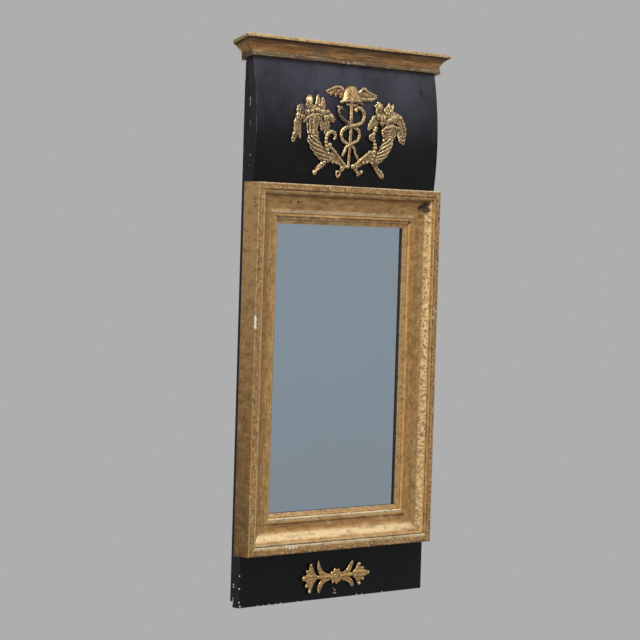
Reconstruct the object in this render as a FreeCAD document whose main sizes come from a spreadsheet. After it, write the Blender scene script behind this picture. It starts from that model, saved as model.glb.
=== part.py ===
"""A pier mirror: a gilt mitred frame round a mirror plate, with a bowed black frieze and cornice
above it, a black apron board below it and gilt castings on both.

Row axes: X to the right, Y into the wall, Z up. The origin lies on the wall plane, on the centre
line, where the wall nail carries the hanging ring. All lengths are in millimetres.
"""

import FreeCAD, Part

import math
import os
import re

import Sketcher

Vector = FreeCAD.Vector

# Driving sizes: name, millimetres or degrees, meaning
SIZES = [
    ("frame_width", 364, "gilt frame across its outer edges"),
    ("frame_height", 523, "gilt frame between its outer edges"),
    ("frame_depth", 31, "moulding from its back to its front"),
    ("moulding_width", 56.4, "outer edge to sight edge"),
    ("edge_round", 1.2, "rounded arris of the outer edge"),
    ("flat_width", 9.5, "outer flat of the moulding"),
    ("bead_width", 3.6, "astragal beside the outer flat"),
    ("bead_radius", 2, "roundness of both beads"),
    ("bead_quirk", 1.2, "depth of the sunk line beside each bead"),
    ("cove_outer", 15.2, "outer edge to where the hollow starts"),
    ("cove_inner", 41.6, "outer edge to where the hollow ends"),
    ("cove_start_depth", 3, "front plane to the hollow's outer end"),
    ("cove_end_depth", 16.4, "front plane to the hollow's inner end"),
    ("cove_radius", 32, "radius of the hollow"),
    ("step_depth", 17.9, "front plane to the bottom of the inner quirk"),
    ("inner_bead_start", 46.6, "outer edge to the inner bead"),
    ("inner_bead_depth", 16.6, "front plane to the inner bead's foot"),
    ("lip_start_depth", 19.4, "front plane to the lip's outer end"),
    ("sight_depth", 22.5, "front plane to the sight edge"),
    ("lip_thickness", 3.5, "wood in front of the glass at the sight edge"),
    ("rebate_width", 8, "how far the glass rebate goes under the lip"),
    ("glass_thickness", 2.4, "silvered plate"),
    ("glass_clearance", 1.5, "gap round the plate in its rebate"),
    ("glazing_block_length", 26, "triangular block that holds the plate"),
    ("glazing_block_side", 5, "short side of that block"),
    ("glazing_block_height", 2.4, "block from the plate to the frame's back"),
    ("backboard_thickness", 5, "pine boards over the back of the plate"),
    ("backboard_lap", 15, "how far they lap the rails"),
    ("backboard_side_lap", 9.6, "how far they lap the stiles"),
    ("board_gap", 0.8, "open joint between boards"),
    ("batten_thickness", 10, "battens and ties from wall to frame"),
    ("batten_inset", 4, "side of the frame to the batten"),
    ("batten_foot_rise", 7, "apron's bottom edge to the batten's end"),
    ("batten_head_drop", 32, "frieze's top to the batten's end"),
    ("tie_height", 50, "cross ties behind the two joints"),
    ("tie_overlap", 25, "how far a tie reaches behind the frame"),
    ("frieze_side_step", 0.5, "frame's outer edge to the bowed frieze board's end"),
    ("frieze_height", 174, "frame's top edge to the frieze's top arris"),
    ("frieze_thickness", 13, "bowed board"),
    ("frieze_foot_setback", 14.8, "frame's front plane to the frieze's foot"),
    ("frieze_head_setback", 20.6, "frame's front plane to the frieze's head"),
    ("frieze_bulge", 7.4, "rise of the bow over its chord"),
    ("rib_width", 30, "shaped ribs behind the frieze's ends"),
    ("rib_inset", 1.5, "frieze's end to the rib"),
    ("rib_head_drop", 40, "frieze's top to the ribs' ends"),
    ("hanger_rail_height", 44, "rail that carries the hanger"),
    ("hanger_rail_clearance", 0.4, "that rail to the bowed board's back"),
    ("cornice_tilt", 17, "degrees that the cornice leans back"),
    ("cornice_height", 25.6, "foot to top of the cornice moulding"),
    ("cornice_projection", 20.5, "top fillet in front of the frieze"),
    ("cornice_foot_projection", 6.2, "lowest member in front of the frieze"),
    ("cornice_foot_height", 7, "lowest member"),
    ("cornice_foot_radius", 18, "its rounding"),
    ("cornice_foot_step", 0.5, "step in above it"),
    ("cornice_fillet_height", 5, "top fillet"),
    ("cornice_fillet_return", 1.2, "fillet in front of the hollow under it"),
    ("cornice_cove_radius", 22, "hollow of the cornice"),
    ("cornice_seat", 8, "moulding's back behind the frieze's face"),
    ("cornice_wall_gap", 0.8, "cornice's back to the wall"),
    ("glue_block_length", 40, "blocks under the cornice core"),
    ("glue_block_height", 14, "same"),
    ("glue_block_side", 5, "same, out from the frieze"),
    ("apron_side_step", 0.5, "lower black board's end beyond the frame's outer edge"),
    ("apron_height", 72.5, "lower black board"),
    ("apron_thickness", 14, "same"),
    ("board_chamfer", 0.8, "eased arrises of the boards"),
    ("nail_hole_radius", 3.4, "sinking round a batten nail's head"),
    ("nail_hole_depth", 1.2, "same"),
    ("nail_head_radius", 3, "forged nail heads"),
    ("nail_head_height", 0.8, "same"),
    ("nail_radius", 1, "nail shanks"),
    ("batten_nail_length", 18, "nails through the battens"),
    ("board_nail_length", 14, "nails through the backboards"),
    ("nail_edge", 6, "edge of a board to its nails"),
    ("ring_inner_radius", 9, "hanging ring's hole"),
    ("ring_bar", 3.5, "ring's bar across"),
    ("ring_thickness", 3, "ring's bar front to back"),
    ("ring_round", 0.7, "rounding of the ring's outer edges"),
    ("eye_hole_radius", 2.8, "hole of the screw eye"),
    ("eye_bar", 1.4, "bar of the screw eye"),
    ("eye_width", 3, "screw eye from side to side"),
    ("eye_gap", 1.2, "screw eye to the wall plane"),
    ("eye_shank_radius", 1.6, "shank in the hanger rail"),
    ("eye_collar_radius", 4.6, "washer on the hanger rail"),
    ("eye_collar_height", 0.8, "same"),
    ("wall_nail_radius", 2, "nail that the ring hangs on"),
    ("nail_below_frieze_top", 60, "wall nail under the frieze's top"),
    ("crest_half_width", 112, "frieze casting, from its middle to its tip"),
    ("crest_height", 134, "frieze casting, foot to helmet top"),
    ("crest_foot", 12, "frame's top edge to the casting"),
    ("crest_offset", -5, "casting's middle beside the centre line"),
    ("crest_gap", 0.5, "gap between neighbouring castings"),
    ("spray_half_width", 68, "apron casting, from its middle to its tip"),
    ("spray_half_height", 23, "apron casting, from its middle up"),
    ("spray_drop", 39.6, "frame's bottom edge to its middle"),
    ("spray_offset", 1.2, "its middle beside the centre line"),
    ("rosette_radius", 12, "flower in its middle"),
    ("overrun", 2, "how far a cutting shape passes the wood"),
]

# Places and sizes worked out from the driving ones
DERIVED = {
    "front": "-(batten_thickness + frame_depth)",
    "back": "-batten_thickness",
    "frame_top": "nail_below_frieze_top - frieze_height",
    "frame_bottom": "frame_top - frame_height",
    "frame_middle": "(frame_top + frame_bottom) / 2",
    "frieze_width": "frame_width - 2 * frieze_side_step",
    "apron_width": "frame_width + 2 * apron_side_step",
    "frieze_top": "nail_below_frieze_top",
    "apron_bottom": "frame_bottom - apron_height",
    "sight_width": "frame_width - 2 * moulding_width",
    "sight_height": "frame_height - 2 * moulding_width",
    "rebate_back": "sight_depth + lip_thickness",
    "rebate_edge": "moulding_width - rebate_width",
    "bead_end": "flat_width + bead_width",
    "inner_bead_end": "inner_bead_start + bead_width",
    "glass_front": "front + rebate_back",
    "plate_width": "sight_width + 2 * (rebate_width - glass_clearance)",
    "plate_height": "sight_height + 2 * (rebate_width - glass_clearance)",
    "batten_width": "rebate_edge - batten_inset - backboard_side_lap - board_gap",
    "batten_inner": "frame_width / 2 - batten_inset - batten_width",
    "batten_middle": "frame_width / 2 - batten_inset - batten_width / 2",
    "batten_head": "frieze_top - batten_head_drop",
    "batten_foot": "apron_bottom + batten_foot_rise",
    "board_half_width": "batten_inner - board_gap",
    "board_half_height": "frame_height / 2 - rebate_edge + backboard_lap",
    "foot_front": "front + frieze_foot_setback",
    "head_front": "front + frieze_head_setback",
    "head_back": "head_front + frieze_thickness * cos(cornice_tilt)",
    "head_back_height": "frieze_height - frieze_thickness * sin(cornice_tilt)",
    "bow_chord": "sqrt(frieze_height^2 + (head_front - foot_front)^2)",
    "bow_radius": "bow_chord^2 / (8 * frieze_bulge) + frieze_bulge / 2",
    "ring_middle_radius": "ring_inner_radius + ring_bar / 2",
    "eye_outer_radius": "eye_hole_radius + eye_bar",
    "eye_back": "-(eye_gap + eye_outer_radius)",
    "eye_height": "wall_nail_radius - ring_inner_radius - ring_middle_radius",
    "rail_head_share": "(eye_height + hanger_rail_height / 2 - frame_top) / frieze_height",
    "rail_head_bow": "frieze_bulge * (1 - (2 * rail_head_share - 1)^2)",
    "rail_head_front": "foot_front + (head_front - foot_front) * rail_head_share - rail_head_bow",
    "hanger_rail_thickness":
        "back - (rail_head_front + frieze_thickness + hanger_rail_clearance)",
    "core_half_width": "frieze_width / 2 - cornice_seat",
}

doc = FreeCAD.newDocument("pier_mirror")
sheet = doc.addObject("Spreadsheet::Sheet", "Sizes")
for row, (name, number, meaning) in enumerate(SIZES, start=1):
    sheet.set(f"A{row}", str(number))
    sheet.set(f"B{row}", meaning)
    sheet.setAlias(f"A{row}", name)
doc.recompute()
SIZE_NAMES = {name for name, number, meaning in SIZES}


def formula(text, owner=""):
    """Writes out a formula of named sizes until only driving sizes are left."""

    def swap(found):
        word = found.group(0)
        if word in DERIVED:
            return "(" + formula(DERIVED[word], owner) + ")"
        if word in SIZE_NAMES:
            return owner + word
        return word

    return re.sub(r"[a-z]+(?:_[a-z]+)*", swap, text)


def size(text):
    """The number that a formula of named sizes gives."""
    return float(sheet.evalExpression(formula(text)))


def bind(thing, path, text):
    """Ties one property to a formula of named sizes."""
    thing.setExpression(path, formula(text, "Sizes."))


def body(name, x="0", y="0", z="0"):
    """A body with its own label, placed by formulas."""
    made = doc.addObject("PartDesign::Body", name)
    made.Label = name
    for axis, text in (("x", x), ("y", y), ("z", z)):
        bind(made, f"Placement.Base.{axis}", text)
    return made


def sketch(owner, plane, name):
    """A sketch on one of the body's own origin planes."""
    made = owner.newObject("Sketcher::SketchObject", f"{owner.Name}_{name}")
    face = [part for part in owner.Origin.OriginFeatures if part.Role == plane][0]
    made.AttachmentSupport = [(face, "")]
    made.MapMode = "FlatFace"
    return made


def fix(drawing, constraint, text):
    """Adds one dimension and ties it to a formula."""
    index = drawing.addConstraint(constraint)
    label = f"dimension_{index}"
    drawing.renameConstraint(index, label)
    bind(drawing, f"Constraints.{label}", text)


def outline(drawing, corners):
    """Draws a closed outline through corners given as formulas.

    A corner is (x, y) where a straight side leaves it, and (x, y, radius, turn) where an arc
    leaves it: turn is 1 for a left-hand curve and -1 for a right-hand one.
    """
    places = [Vector(size(corner[0]), size(corner[1]), 0) for corner in corners]
    sides = []
    for number, corner in enumerate(corners):
        start, end = places[number], places[(number + 1) % len(places)]
        if len(corner) == 2:
            edge = drawing.addGeometry(Part.LineSegment(start, end), False)
            sides.append((edge, 1, 2))
            continue
        radius, turn = size(corner[2]), corner[3]
        along = end - start
        normal = Vector(-along.y, along.x, 0).normalize() * turn
        rise = math.sqrt(radius ** 2 - (along.Length / 2) ** 2)
        centre = (start + end) * 0.5 + normal * rise
        angles = [math.atan2(p.y - centre.y, p.x - centre.x) for p in (start, end)]
        if turn < 0:
            angles.reverse()
        if angles[1] < angles[0]:
            angles[1] += 2 * math.pi
        circle = Part.Circle(centre, Vector(0, 0, 1), radius)
        edge = drawing.addGeometry(Part.ArcOfCircle(circle, angles[0], angles[1]), False)
        sides.append((edge, 1, 2) if turn > 0 else (edge, 2, 1))
        fix(drawing, Sketcher.Constraint("Radius", edge, radius), corner[2])
    for number, corner in enumerate(corners):
        edge, first, last = sides[number]
        before = sides[number - 1]
        drawing.addConstraint(Sketcher.Constraint("Coincident", before[0], before[2], edge, first))
        place = places[number]
        fix(drawing, Sketcher.Constraint("DistanceX", -1, 1, edge, first, place.x), corner[0])
        fix(drawing, Sketcher.Constraint("DistanceY", -1, 1, edge, first, place.y), corner[1])


def rectangle(drawing, left, right, low, high):
    """Draws a rectangle between four formulas."""
    outline(drawing, [(left, low), (right, low), (right, high), (left, high)])


def circle(drawing, x, y, radius):
    """Draws one circle, placed and sized by formulas."""
    place = Vector(size(x), size(y), 0)
    edge = drawing.addGeometry(Part.Circle(place, Vector(0, 0, 1), size(radius)), False)
    fix(drawing, Sketcher.Constraint("Radius", edge, size(radius)), radius)
    fix(drawing, Sketcher.Constraint("DistanceX", -1, 1, edge, 3, place.x), x)
    fix(drawing, Sketcher.Constraint("DistanceY", -1, 1, edge, 3, place.y), y)


def extrude(owner, kind, profile, length, both_ways=True, reverse=False):
    """Pads or pockets a sketch, by default evenly to both sides of its plane."""
    made = owner.newObject(f"PartDesign::{kind}", f"{profile.Name}_{kind.lower()}")
    made.Profile = profile
    made.SideType = "Symmetric" if both_ways else "One side"
    made.Reversed = reverse
    bind(made, "Length", length)
    return made


def ease(owner, length, wanted):
    """Chamfers the edges of the body's last feature that a test picks."""
    doc.recompute()
    last = owner.Tip
    names = [f"Edge{n}" for n, edge in enumerate(last.Shape.Edges, 1) if wanted(edge)]
    made = owner.newObject("PartDesign::Chamfer", f"{owner.Name}_eased")
    made.Base = (last, names)
    bind(made, "Size", length)
    return made


def along_axis(edge, axis):
    """Whether an edge is straight and runs along X, Y or Z."""
    if edge.Curve.TypeId != "Part::GeomLine":
        return False
    direction = edge.Curve.Direction
    return abs(abs(getattr(direction, axis)) - 1) < 1e-6


def board(name, width, height, thickness, x="0", back="0", z="0", eased=True):
    """A flat board with eased front and back arrises; z is its middle and back its rear face."""
    made = body(name, x, back, z)
    face = sketch(made, "XZ_Plane", "face")
    rectangle(face, f"-({width}) / 2", f"({width}) / 2", f"-({height}) / 2", f"({height}) / 2")
    extrude(made, "Pad", face, thickness, both_ways=False)
    if eased:
        ease(made, "board_chamfer", lambda edge: not along_axis(edge, "y"))
    return made


def solid_feature(name, shape):
    """A sub-part whose shape is worked out here, with its own label and placement."""
    made = doc.addObject("Part::Feature", name)
    made.Label = name
    made.Shape = shape
    made.Placement = FreeCAD.Placement()
    return made


def faceted(rings):
    """A closed solid of flat facets through rings of corners."""
    facets = [Part.Face(Part.makePolygon(ring + ring[:1])) for ring in (rings[0], rings[-1])]
    for low, high in zip(rings, rings[1:]):
        for number, corner in enumerate(low):
            following = (number + 1) % len(low)
            for last in ([corner, low[following], high[following]],
                         [corner, high[following], high[number]]):
                facets.append(Part.Face(Part.makePolygon(last + last[:1])))
    made = Part.makeSolid(Part.makeShell(facets))
    if made.Volume < 0:
        made.reverse()
    return made


# Gilt frame


def moulding_section(inward, along_sign):
    """The moulding's section as corners (across, depth), seen from its outer edge inwards."""
    points = [
        ("0", "frame_depth"),
        ("0", "edge_round", "edge_round", 1),
        ("edge_round", "0"),
        ("flat_width", "0"),
        ("flat_width", "bead_quirk", "bead_radius", 1),
        ("bead_end", "bead_quirk"),
        ("bead_end", "cove_start_depth"),
        ("cove_outer", "cove_start_depth", "cove_radius", -1),
        ("cove_inner", "cove_end_depth"),
        ("cove_inner", "step_depth"),
        ("inner_bead_start", "step_depth - bead_quirk"),
        ("inner_bead_start", "inner_bead_depth", "bead_radius", 1),
        ("inner_bead_end", "inner_bead_depth"),
        ("inner_bead_end", "lip_start_depth"),
        ("moulding_width", "sight_depth"),
        ("moulding_width", "rebate_back"),
        ("rebate_edge", "rebate_back"),
        ("rebate_edge", "frame_depth"),
    ]
    corners = []
    for point in points:
        across = f"{along_sign} * ({point[0]})"
        depth = f"front + ({point[1]})"
        place = (depth, across) if inward == "z" else (across, depth)
        if len(point) == 4:
            mirrored = (inward == "z") != (along_sign == "-1")
            corners.append((*place, point[2], -point[3] if mirrored else point[3]))
        else:
            corners.append(place)
    return corners


def mitre_cut(owner, corners_list):
    """Cuts the waste off a frame member's ends."""
    waste = sketch(owner, "XZ_Plane", "mitres")
    for corners in corners_list:
        outline(waste, corners)
    extrude(owner, "Pocket", waste, "4 * (batten_thickness + frame_depth)")


def frame_rail(name, z, inward_sign):
    """A top or bottom rail: the section runs along X between two mitres."""
    rail = body(name, z=z)
    section = sketch(rail, "YZ_Plane", "section")
    outline(section, moulding_section("z", inward_sign))
    extrude(rail, "Pad", section, "frame_width")
    reach = "(moulding_width + overrun)"
    cuts = []
    for side in ("-1", "1"):
        outer = f"{side} * (frame_width / 2 + overrun)"
        inner = f"{side} * (frame_width / 2 - {reach})"
        cuts.append([
            (outer, f"{inward_sign} * (-overrun)"),
            (outer, f"{inward_sign} * {reach}"),
            (inner, f"{inward_sign} * {reach}"),
        ])
    mitre_cut(rail, cuts)
    return rail


def frame_stile(name, x, inward_sign):
    """A left or right stile: the section runs along Z between two mitres."""
    stile = body(name, x=x, z="frame_middle")
    section = sketch(stile, "XY_Plane", "section")
    outline(section, moulding_section("x", inward_sign))
    extrude(stile, "Pad", section, "frame_height")
    reach = "(moulding_width + overrun)"
    cuts = []
    for end in ("-1", "1"):
        outer = f"{end} * (frame_height / 2 + overrun)"
        inner = f"{end} * (frame_height / 2 - {reach})"
        cuts.append([
            (f"{inward_sign} * (-overrun)", outer),
            (f"{inward_sign} * {reach}", inner),
            (f"{inward_sign} * {reach}", outer),
        ])
    mitre_cut(stile, cuts)
    return stile


frame_rail("frame_rail_top", "frame_top", "-1")
frame_rail("frame_rail_bottom", "frame_bottom", "1")
frame_stile("frame_stile_left", "-frame_width / 2", "1")
frame_stile("frame_stile_right", "frame_width / 2", "-1")

# Mirror plate and what holds it

board("mirror_glass", "plate_width", "plate_height", "glass_thickness",
      back="glass_front + glass_thickness", z="frame_middle", eased=False)


def glazing_blocks():
    """Triangular blocks glued into the rebate behind the plate, three to a side and two to an end."""
    side, height = size("glazing_block_side"), size("glazing_block_height")
    length = size("glazing_block_length")
    plate_back = size("glass_front + glass_thickness")
    half_width = size("frame_width / 2 - rebate_edge")
    half_height = size("frame_height / 2 - rebate_edge")
    middle = size("frame_middle")
    side_shares, end_shares = (-0.7, 0, 0.7), (-0.5, 0.5)
    blocks = []

    def block(turn, place):
        corners = [Vector(0, 0, -length / 2), Vector(-side, 0, -length / 2)]
        corners.append(Vector(0, height, -length / 2))
        face = Part.Face(Part.makePolygon(corners + corners[:1]))
        made = face.extrude(Vector(0, 0, length))
        made.rotate(Vector(), Vector(0, 1, 0), turn)
        made.translate(place)
        blocks.append(made)

    for share in side_shares:
        block(0, Vector(half_width, plate_back, middle + share * half_height))
        block(180, Vector(-half_width, plate_back, middle + share * half_height))
    for share in end_shares:
        block(-90, Vector(share * half_width, plate_back, middle + half_height))
        block(90, Vector(share * half_width, plate_back, middle - half_height))
    return Part.makeCompound(blocks)


solid_feature("glazing_blocks", glazing_blocks())

for name, sign in (("backboard_upper", "1"), ("backboard_lower", "-1")):
    board(name, "2 * board_half_width", "board_half_height - board_gap / 2", "backboard_thickness",
          back="back + backboard_thickness",
          z=f"frame_middle + {sign} * (board_half_height + board_gap / 2) / 2")

# Back frame of battens and ties

BATTEN_NAILS = [
    "batten_head - 2 * nail_edge",
    "frame_top + 2 * nail_edge",
    "frame_top - moulding_width / 2",
    "frame_middle",
    "frame_bottom + moulding_width / 2",
    "frame_bottom - 2 * nail_edge",
    "batten_foot + nail_edge + nail_head_radius",
]


def batten(name, side):
    """An upright batten with sinkings for its nails."""
    made = board(name, "batten_width", "batten_head - batten_foot", "batten_thickness",
                 x=f"{side} * batten_middle", z="(batten_head + batten_foot) / 2")
    sinkings = sketch(made, "XZ_Plane", "sinkings")
    for height in BATTEN_NAILS:
        level = f"{height} - (batten_head + batten_foot) / 2"
        rectangle(sinkings, "-nail_hole_radius", "nail_hole_radius",
                  f"{level} - nail_hole_radius", f"{level} + nail_hole_radius")
    extrude(made, "Pocket", sinkings, "2 * nail_hole_depth")
    return made


batten("back_batten_left", "-1")
batten("back_batten_right", "1")
board("upper_tie", "2 * (batten_inner - board_gap / 2)", "tie_height", "batten_thickness",
      z="frame_top - tie_overlap + tie_height / 2")
board("lower_tie", "2 * (batten_inner - board_gap / 2)", "tie_height", "batten_thickness",
      z="frame_bottom + tie_overlap - tie_height / 2")


def nail(x, y, z, length):
    """A square forged nail whose head's back lies at y, driven towards the front."""
    radius = size("nail_radius")
    head_radius, head = size("nail_head_radius"), size("nail_head_height")
    top_share, point_share = 0.6, 0.4
    rings = []
    for half, depth in ((head_radius * top_share, 0), (head_radius, head), (radius, head),
                        (radius * point_share, length)):
        rings.append([Vector(x + half * right, y - depth, z + half * up)
                      for right, up in ((-1, -1), (1, -1), (1, 1), (-1, 1))])
    return faceted(rings)


def nail_group(places, y, length):
    """Separate nails at several places on one face."""
    return Part.makeCompound([nail(x, y, z, length) for x, z in places])


sunk_face = size("-(nail_hole_depth - nail_head_height)")
for name, side in (("batten_nails_left", -1), ("batten_nails_right", 1)):
    x = side * size("batten_middle")
    places = [(x, size(height)) for height in BATTEN_NAILS]
    solid_feature(name, nail_group(places, sunk_face, size("batten_nail_length")))


def backboard_nails():
    """Nails round the two backboards, in the margins that lap the moulding."""
    half_width = size("board_half_width - nail_edge / 2")
    half_height = size("board_half_height - nail_edge")
    middle = size("frame_middle")
    width_shares, height_shares = (-0.75, 0, 0.75), (-0.72, -0.12, 0.12, 0.72)
    places = []
    for end in (-1, 1):
        places += [(share * half_width, middle + end * half_height) for share in width_shares]
        places += [(end * half_width, middle + share * half_height) for share in height_shares]
    face = size("back + backboard_thickness + nail_head_height")
    return nail_group(places, face, size("board_nail_length"))


solid_feature("backboard_nails", backboard_nails())

# Bowed frieze

frieze = body("frieze_board", z="frame_top")
frieze_section = sketch(frieze, "YZ_Plane", "section")
outline(frieze_section, [
    ("foot_front + frieze_thickness", "0", "bow_radius - frieze_thickness", -1),
    ("head_back", "head_back_height"),
    ("head_front", "frieze_height", "bow_radius", 1),
    ("foot_front", "0"),
])
extrude(frieze, "Pad", frieze_section, "frieze_width")


def rib(name, side):
    """A shaped rib between a batten and the back of the bowed board, which trims it."""
    blank = doc.addObject("Part::Box", f"{name}_blank")
    middle = f"{side} * (frieze_width / 2 - rib_inset - rib_width / 2)"
    bind(blank, "Length", "rib_width")
    bind(blank, "Width", "back - foot_front - frieze_thickness / 2")
    bind(blank, "Height", "frieze_height - rib_head_drop")
    bind(blank, "Placement.Base.x", f"{middle} - rib_width / 2")
    bind(blank, "Placement.Base.y", "foot_front + frieze_thickness / 2")
    bind(blank, "Placement.Base.z", "frame_top")
    made = doc.addObject("Part::Cut", name)
    made.Label = name
    made.Base = blank
    made.Tool = frieze


rib("frieze_rib_left", "-1")
rib("frieze_rib_right", "1")
board("hanger_rail", "frieze_width - 2 * (rib_inset + rib_width + board_gap)", "hanger_rail_height",
      "hanger_rail_thickness", back="back", z="eye_height")

# Cornice, in its own frame: its origin is the frieze's top arris, and it leans back


def cornice_body(name, x="0"):
    """A body that leans back with the cornice."""
    made = body(name, x, "head_front", "frieze_top")
    made.Placement = FreeCAD.Placement(Vector(), FreeCAD.Rotation(Vector(-1, 0, 0), 1))
    bind(made, "Placement.Rotation.Angle", "cornice_tilt")
    return made


def cornice_section(mirrored, place):
    """The cornice's section: place turns (out, up) into the sketch's own two directions."""
    points = [
        ("-cornice_seat", "0"),
        ("cornice_foot_projection", "0", "cornice_foot_radius", 1),
        ("cornice_foot_projection", "cornice_foot_height"),
        ("cornice_foot_projection - cornice_foot_step", "cornice_foot_height",
         "cornice_cove_radius", -1),
        ("cornice_projection - cornice_fillet_return", "cornice_height - cornice_fillet_height"),
        ("cornice_projection", "cornice_height - cornice_fillet_height"),
        ("cornice_projection", "cornice_height"),
        ("-cornice_seat", "cornice_height"),
    ]
    corners = []
    for point in points:
        corner = place(point[0], point[1])
        if len(point) == 4:
            corner += (point[2], -point[3] if mirrored else point[3])
        corners.append(corner)
    return corners


def wall_line(height):
    """Where the cornice meets the wall's clearance, behind its origin, at a height of its own."""
    depth = "(-cornice_wall_gap - head_front)"
    return f"({depth} - ({height}) * sin(cornice_tilt)) / cos(cornice_tilt)"


def cornice_front():
    """The front length, mitred at both ends."""
    made = cornice_body("cornice_front")
    section = sketch(made, "YZ_Plane", "section")
    outline(section, cornice_section(True, lambda out, up: (f"-({out})", up)))
    extrude(made, "Pad", section, "frieze_width + 2 * cornice_projection")
    waste = sketch(made, "XY_Plane", "mitres")
    for side in ("-1", "1"):
        tip = f"{side} * (frieze_width / 2 + cornice_projection + overrun)"
        heel = f"{side} * (frieze_width / 2 - cornice_seat - overrun)"
        outline(waste, [
            (tip, "-cornice_projection - overrun"),
            (tip, "cornice_seat + overrun"),
            (heel, "cornice_seat + overrun"),
        ])
    extrude(made, "Pocket", waste, "4 * cornice_height")


def cornice_return(name, side):
    """A side length, mitred in front and cut upright at the wall."""
    made = cornice_body(name, f"{side} * frieze_width / 2")
    section = sketch(made, "XZ_Plane", "section")
    outline(section, cornice_section(side < 0, lambda out, up: (f"{side} * ({out})", up)))
    reach = "(batten_thickness + frame_depth)"
    extrude(made, "Pad", section, f"2 * {reach}")
    mitre = sketch(made, "XY_Plane", "mitre")
    near = f"{side} * (-cornice_seat - overrun)"
    outline(mitre, [
        (near, "cornice_seat + overrun"),
        (near, f"-{reach} - overrun"),
        (f"{side} * ({reach} + overrun)", f"-{reach} - overrun"),
    ])
    extrude(made, "Pocket", mitre, "4 * cornice_height")
    wall = sketch(made, "YZ_Plane", "wall")
    outline(wall, [
        (wall_line("-overrun"), "-overrun"),
        (f"{reach} + overrun", "-overrun"),
        (f"{reach} + overrun", "cornice_height + overrun"),
        (wall_line("cornice_height + overrun"), "cornice_height + overrun"),
    ])
    extrude(made, "Pocket", wall, "4 * (cornice_projection + cornice_seat)")


cornice_front()
cornice_return("cornice_return_left", -1)
cornice_return("cornice_return_right", 1)

core = cornice_body("cornice_core")
core_section = sketch(core, "YZ_Plane", "section")
outline(core_section, [
    ("cornice_seat", "0"),
    (wall_line("0"), "0"),
    (wall_line("cornice_height"), "cornice_height"),
    ("cornice_seat", "cornice_height"),
])
extrude(core, "Pad", core_section, "2 * core_half_width")
doc.recompute()


def cornice_glue_blocks():
    """Blocks in the angle between the cornice core and the back of the bowed board."""
    length, height = size("glue_block_length"), size("glue_block_height")
    thickness, side = size("frieze_thickness"), size("glue_block_side")
    place_shares = (-0.65, 0, 0.65)
    blocks = []
    for share in place_shares:
        middle = share * size("core_half_width")
        corner = Vector(middle - length / 2, thickness / 2, -height)
        blank = Part.makeBox(length, thickness / 2 + side, height, corner)
        blank.Placement = core.Placement.multiply(blank.Placement)
        blocks.append(blank.cut(frieze.Shape))
    return Part.makeCompound(blocks)


solid_feature("cornice_glue_blocks", cornice_glue_blocks())

# Apron

board("apron_board", "apron_width", "apron_height", "apron_thickness", back="back",
      z="frame_bottom - apron_height / 2")

# Hanger: a screw eye in the hanger rail, and the ring that swings in it

eye = body("hanger_eye", y="back", z="eye_height")
loop = sketch(eye, "YZ_Plane", "loop")
circle(loop, "eye_back - back", "0", "eye_outer_radius")
circle(loop, "eye_back - back", "0", "eye_hole_radius")
extrude(eye, "Pad", loop, "eye_width")
collar = sketch(eye, "XZ_Plane", "collar")
circle(collar, "0", "0", "eye_collar_radius")
extrude(eye, "Pad", collar, "eye_collar_height", both_ways=False, reverse=True)
shank = sketch(eye, "XZ_Plane", "shank")
circle(shank, "0", "0", "eye_shank_radius")
extrude(eye, "Pad", shank, "hanger_rail_thickness - eye_collar_height", both_ways=False)

ring = body("hanging_ring", y="eye_back", z="eye_height")
hoop = sketch(ring, "XZ_Plane", "hoop")
circle(hoop, "0", "-ring_middle_radius", "ring_middle_radius + ring_bar / 2")
circle(hoop, "0", "-ring_middle_radius", "ring_inner_radius")
hoop_pad = extrude(ring, "Pad", hoop, "ring_thickness")
outer_radius = size("ring_middle_radius + ring_bar / 2")
ease(ring, "ring_round", lambda edge: edge.Curve.TypeId == "Part::GeomCircle"
     and abs(edge.Curve.Radius - outer_radius) < 1e-6)

# Castings: lofted horns, leaves and snakes with fruit between them, cut to the board behind


def bow_front(height):
    """The bowed face's row Y at a height above the frame's top edge."""
    foot = Vector(0, size("foot_front"), 0)
    head = Vector(0, size("head_front"), size("frieze_height"))
    along = (head - foot).normalize()
    radius = size("bow_radius")
    to_wall = Vector(0, along.z, -along.y)
    centre = (foot + head) * 0.5 + to_wall * (radius - size("frieze_bulge"))
    return centre.y - math.sqrt(radius ** 2 - (height - centre.z) ** 2)


ROD_SIDES, BALL_SIDES, DOME_SIDES, FEW_ROWS = 6, 8, 12, 6
BALL_TILTS = (-72, -38, 0, 38, 72)
CREST_HALF, CREST_HEIGHT = size("crest_half_width"), size("crest_height")
SPRAY_HALF, SPRAY_HEIGHT = size("spray_half_width"), size("spray_half_height")


def on_frieze(across, up, lift):
    """A point in front of the bowed face, from shares of the crest's half width and height."""
    height = size("crest_foot") + up * CREST_HEIGHT
    x = size("crest_offset") + across * CREST_HALF
    return Vector(x, bow_front(height) - lift * CREST_HEIGHT, size("frame_top") + height)


def on_apron(across, up, lift):
    """A point in front of the apron, from shares of the spray's half width and half height."""
    y = size("back - apron_thickness") - lift * SPRAY_HEIGHT
    z = size("frame_bottom - spray_drop") + up * SPRAY_HEIGHT
    return Vector(size("spray_offset") + across * SPRAY_HALF, y, z)


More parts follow.
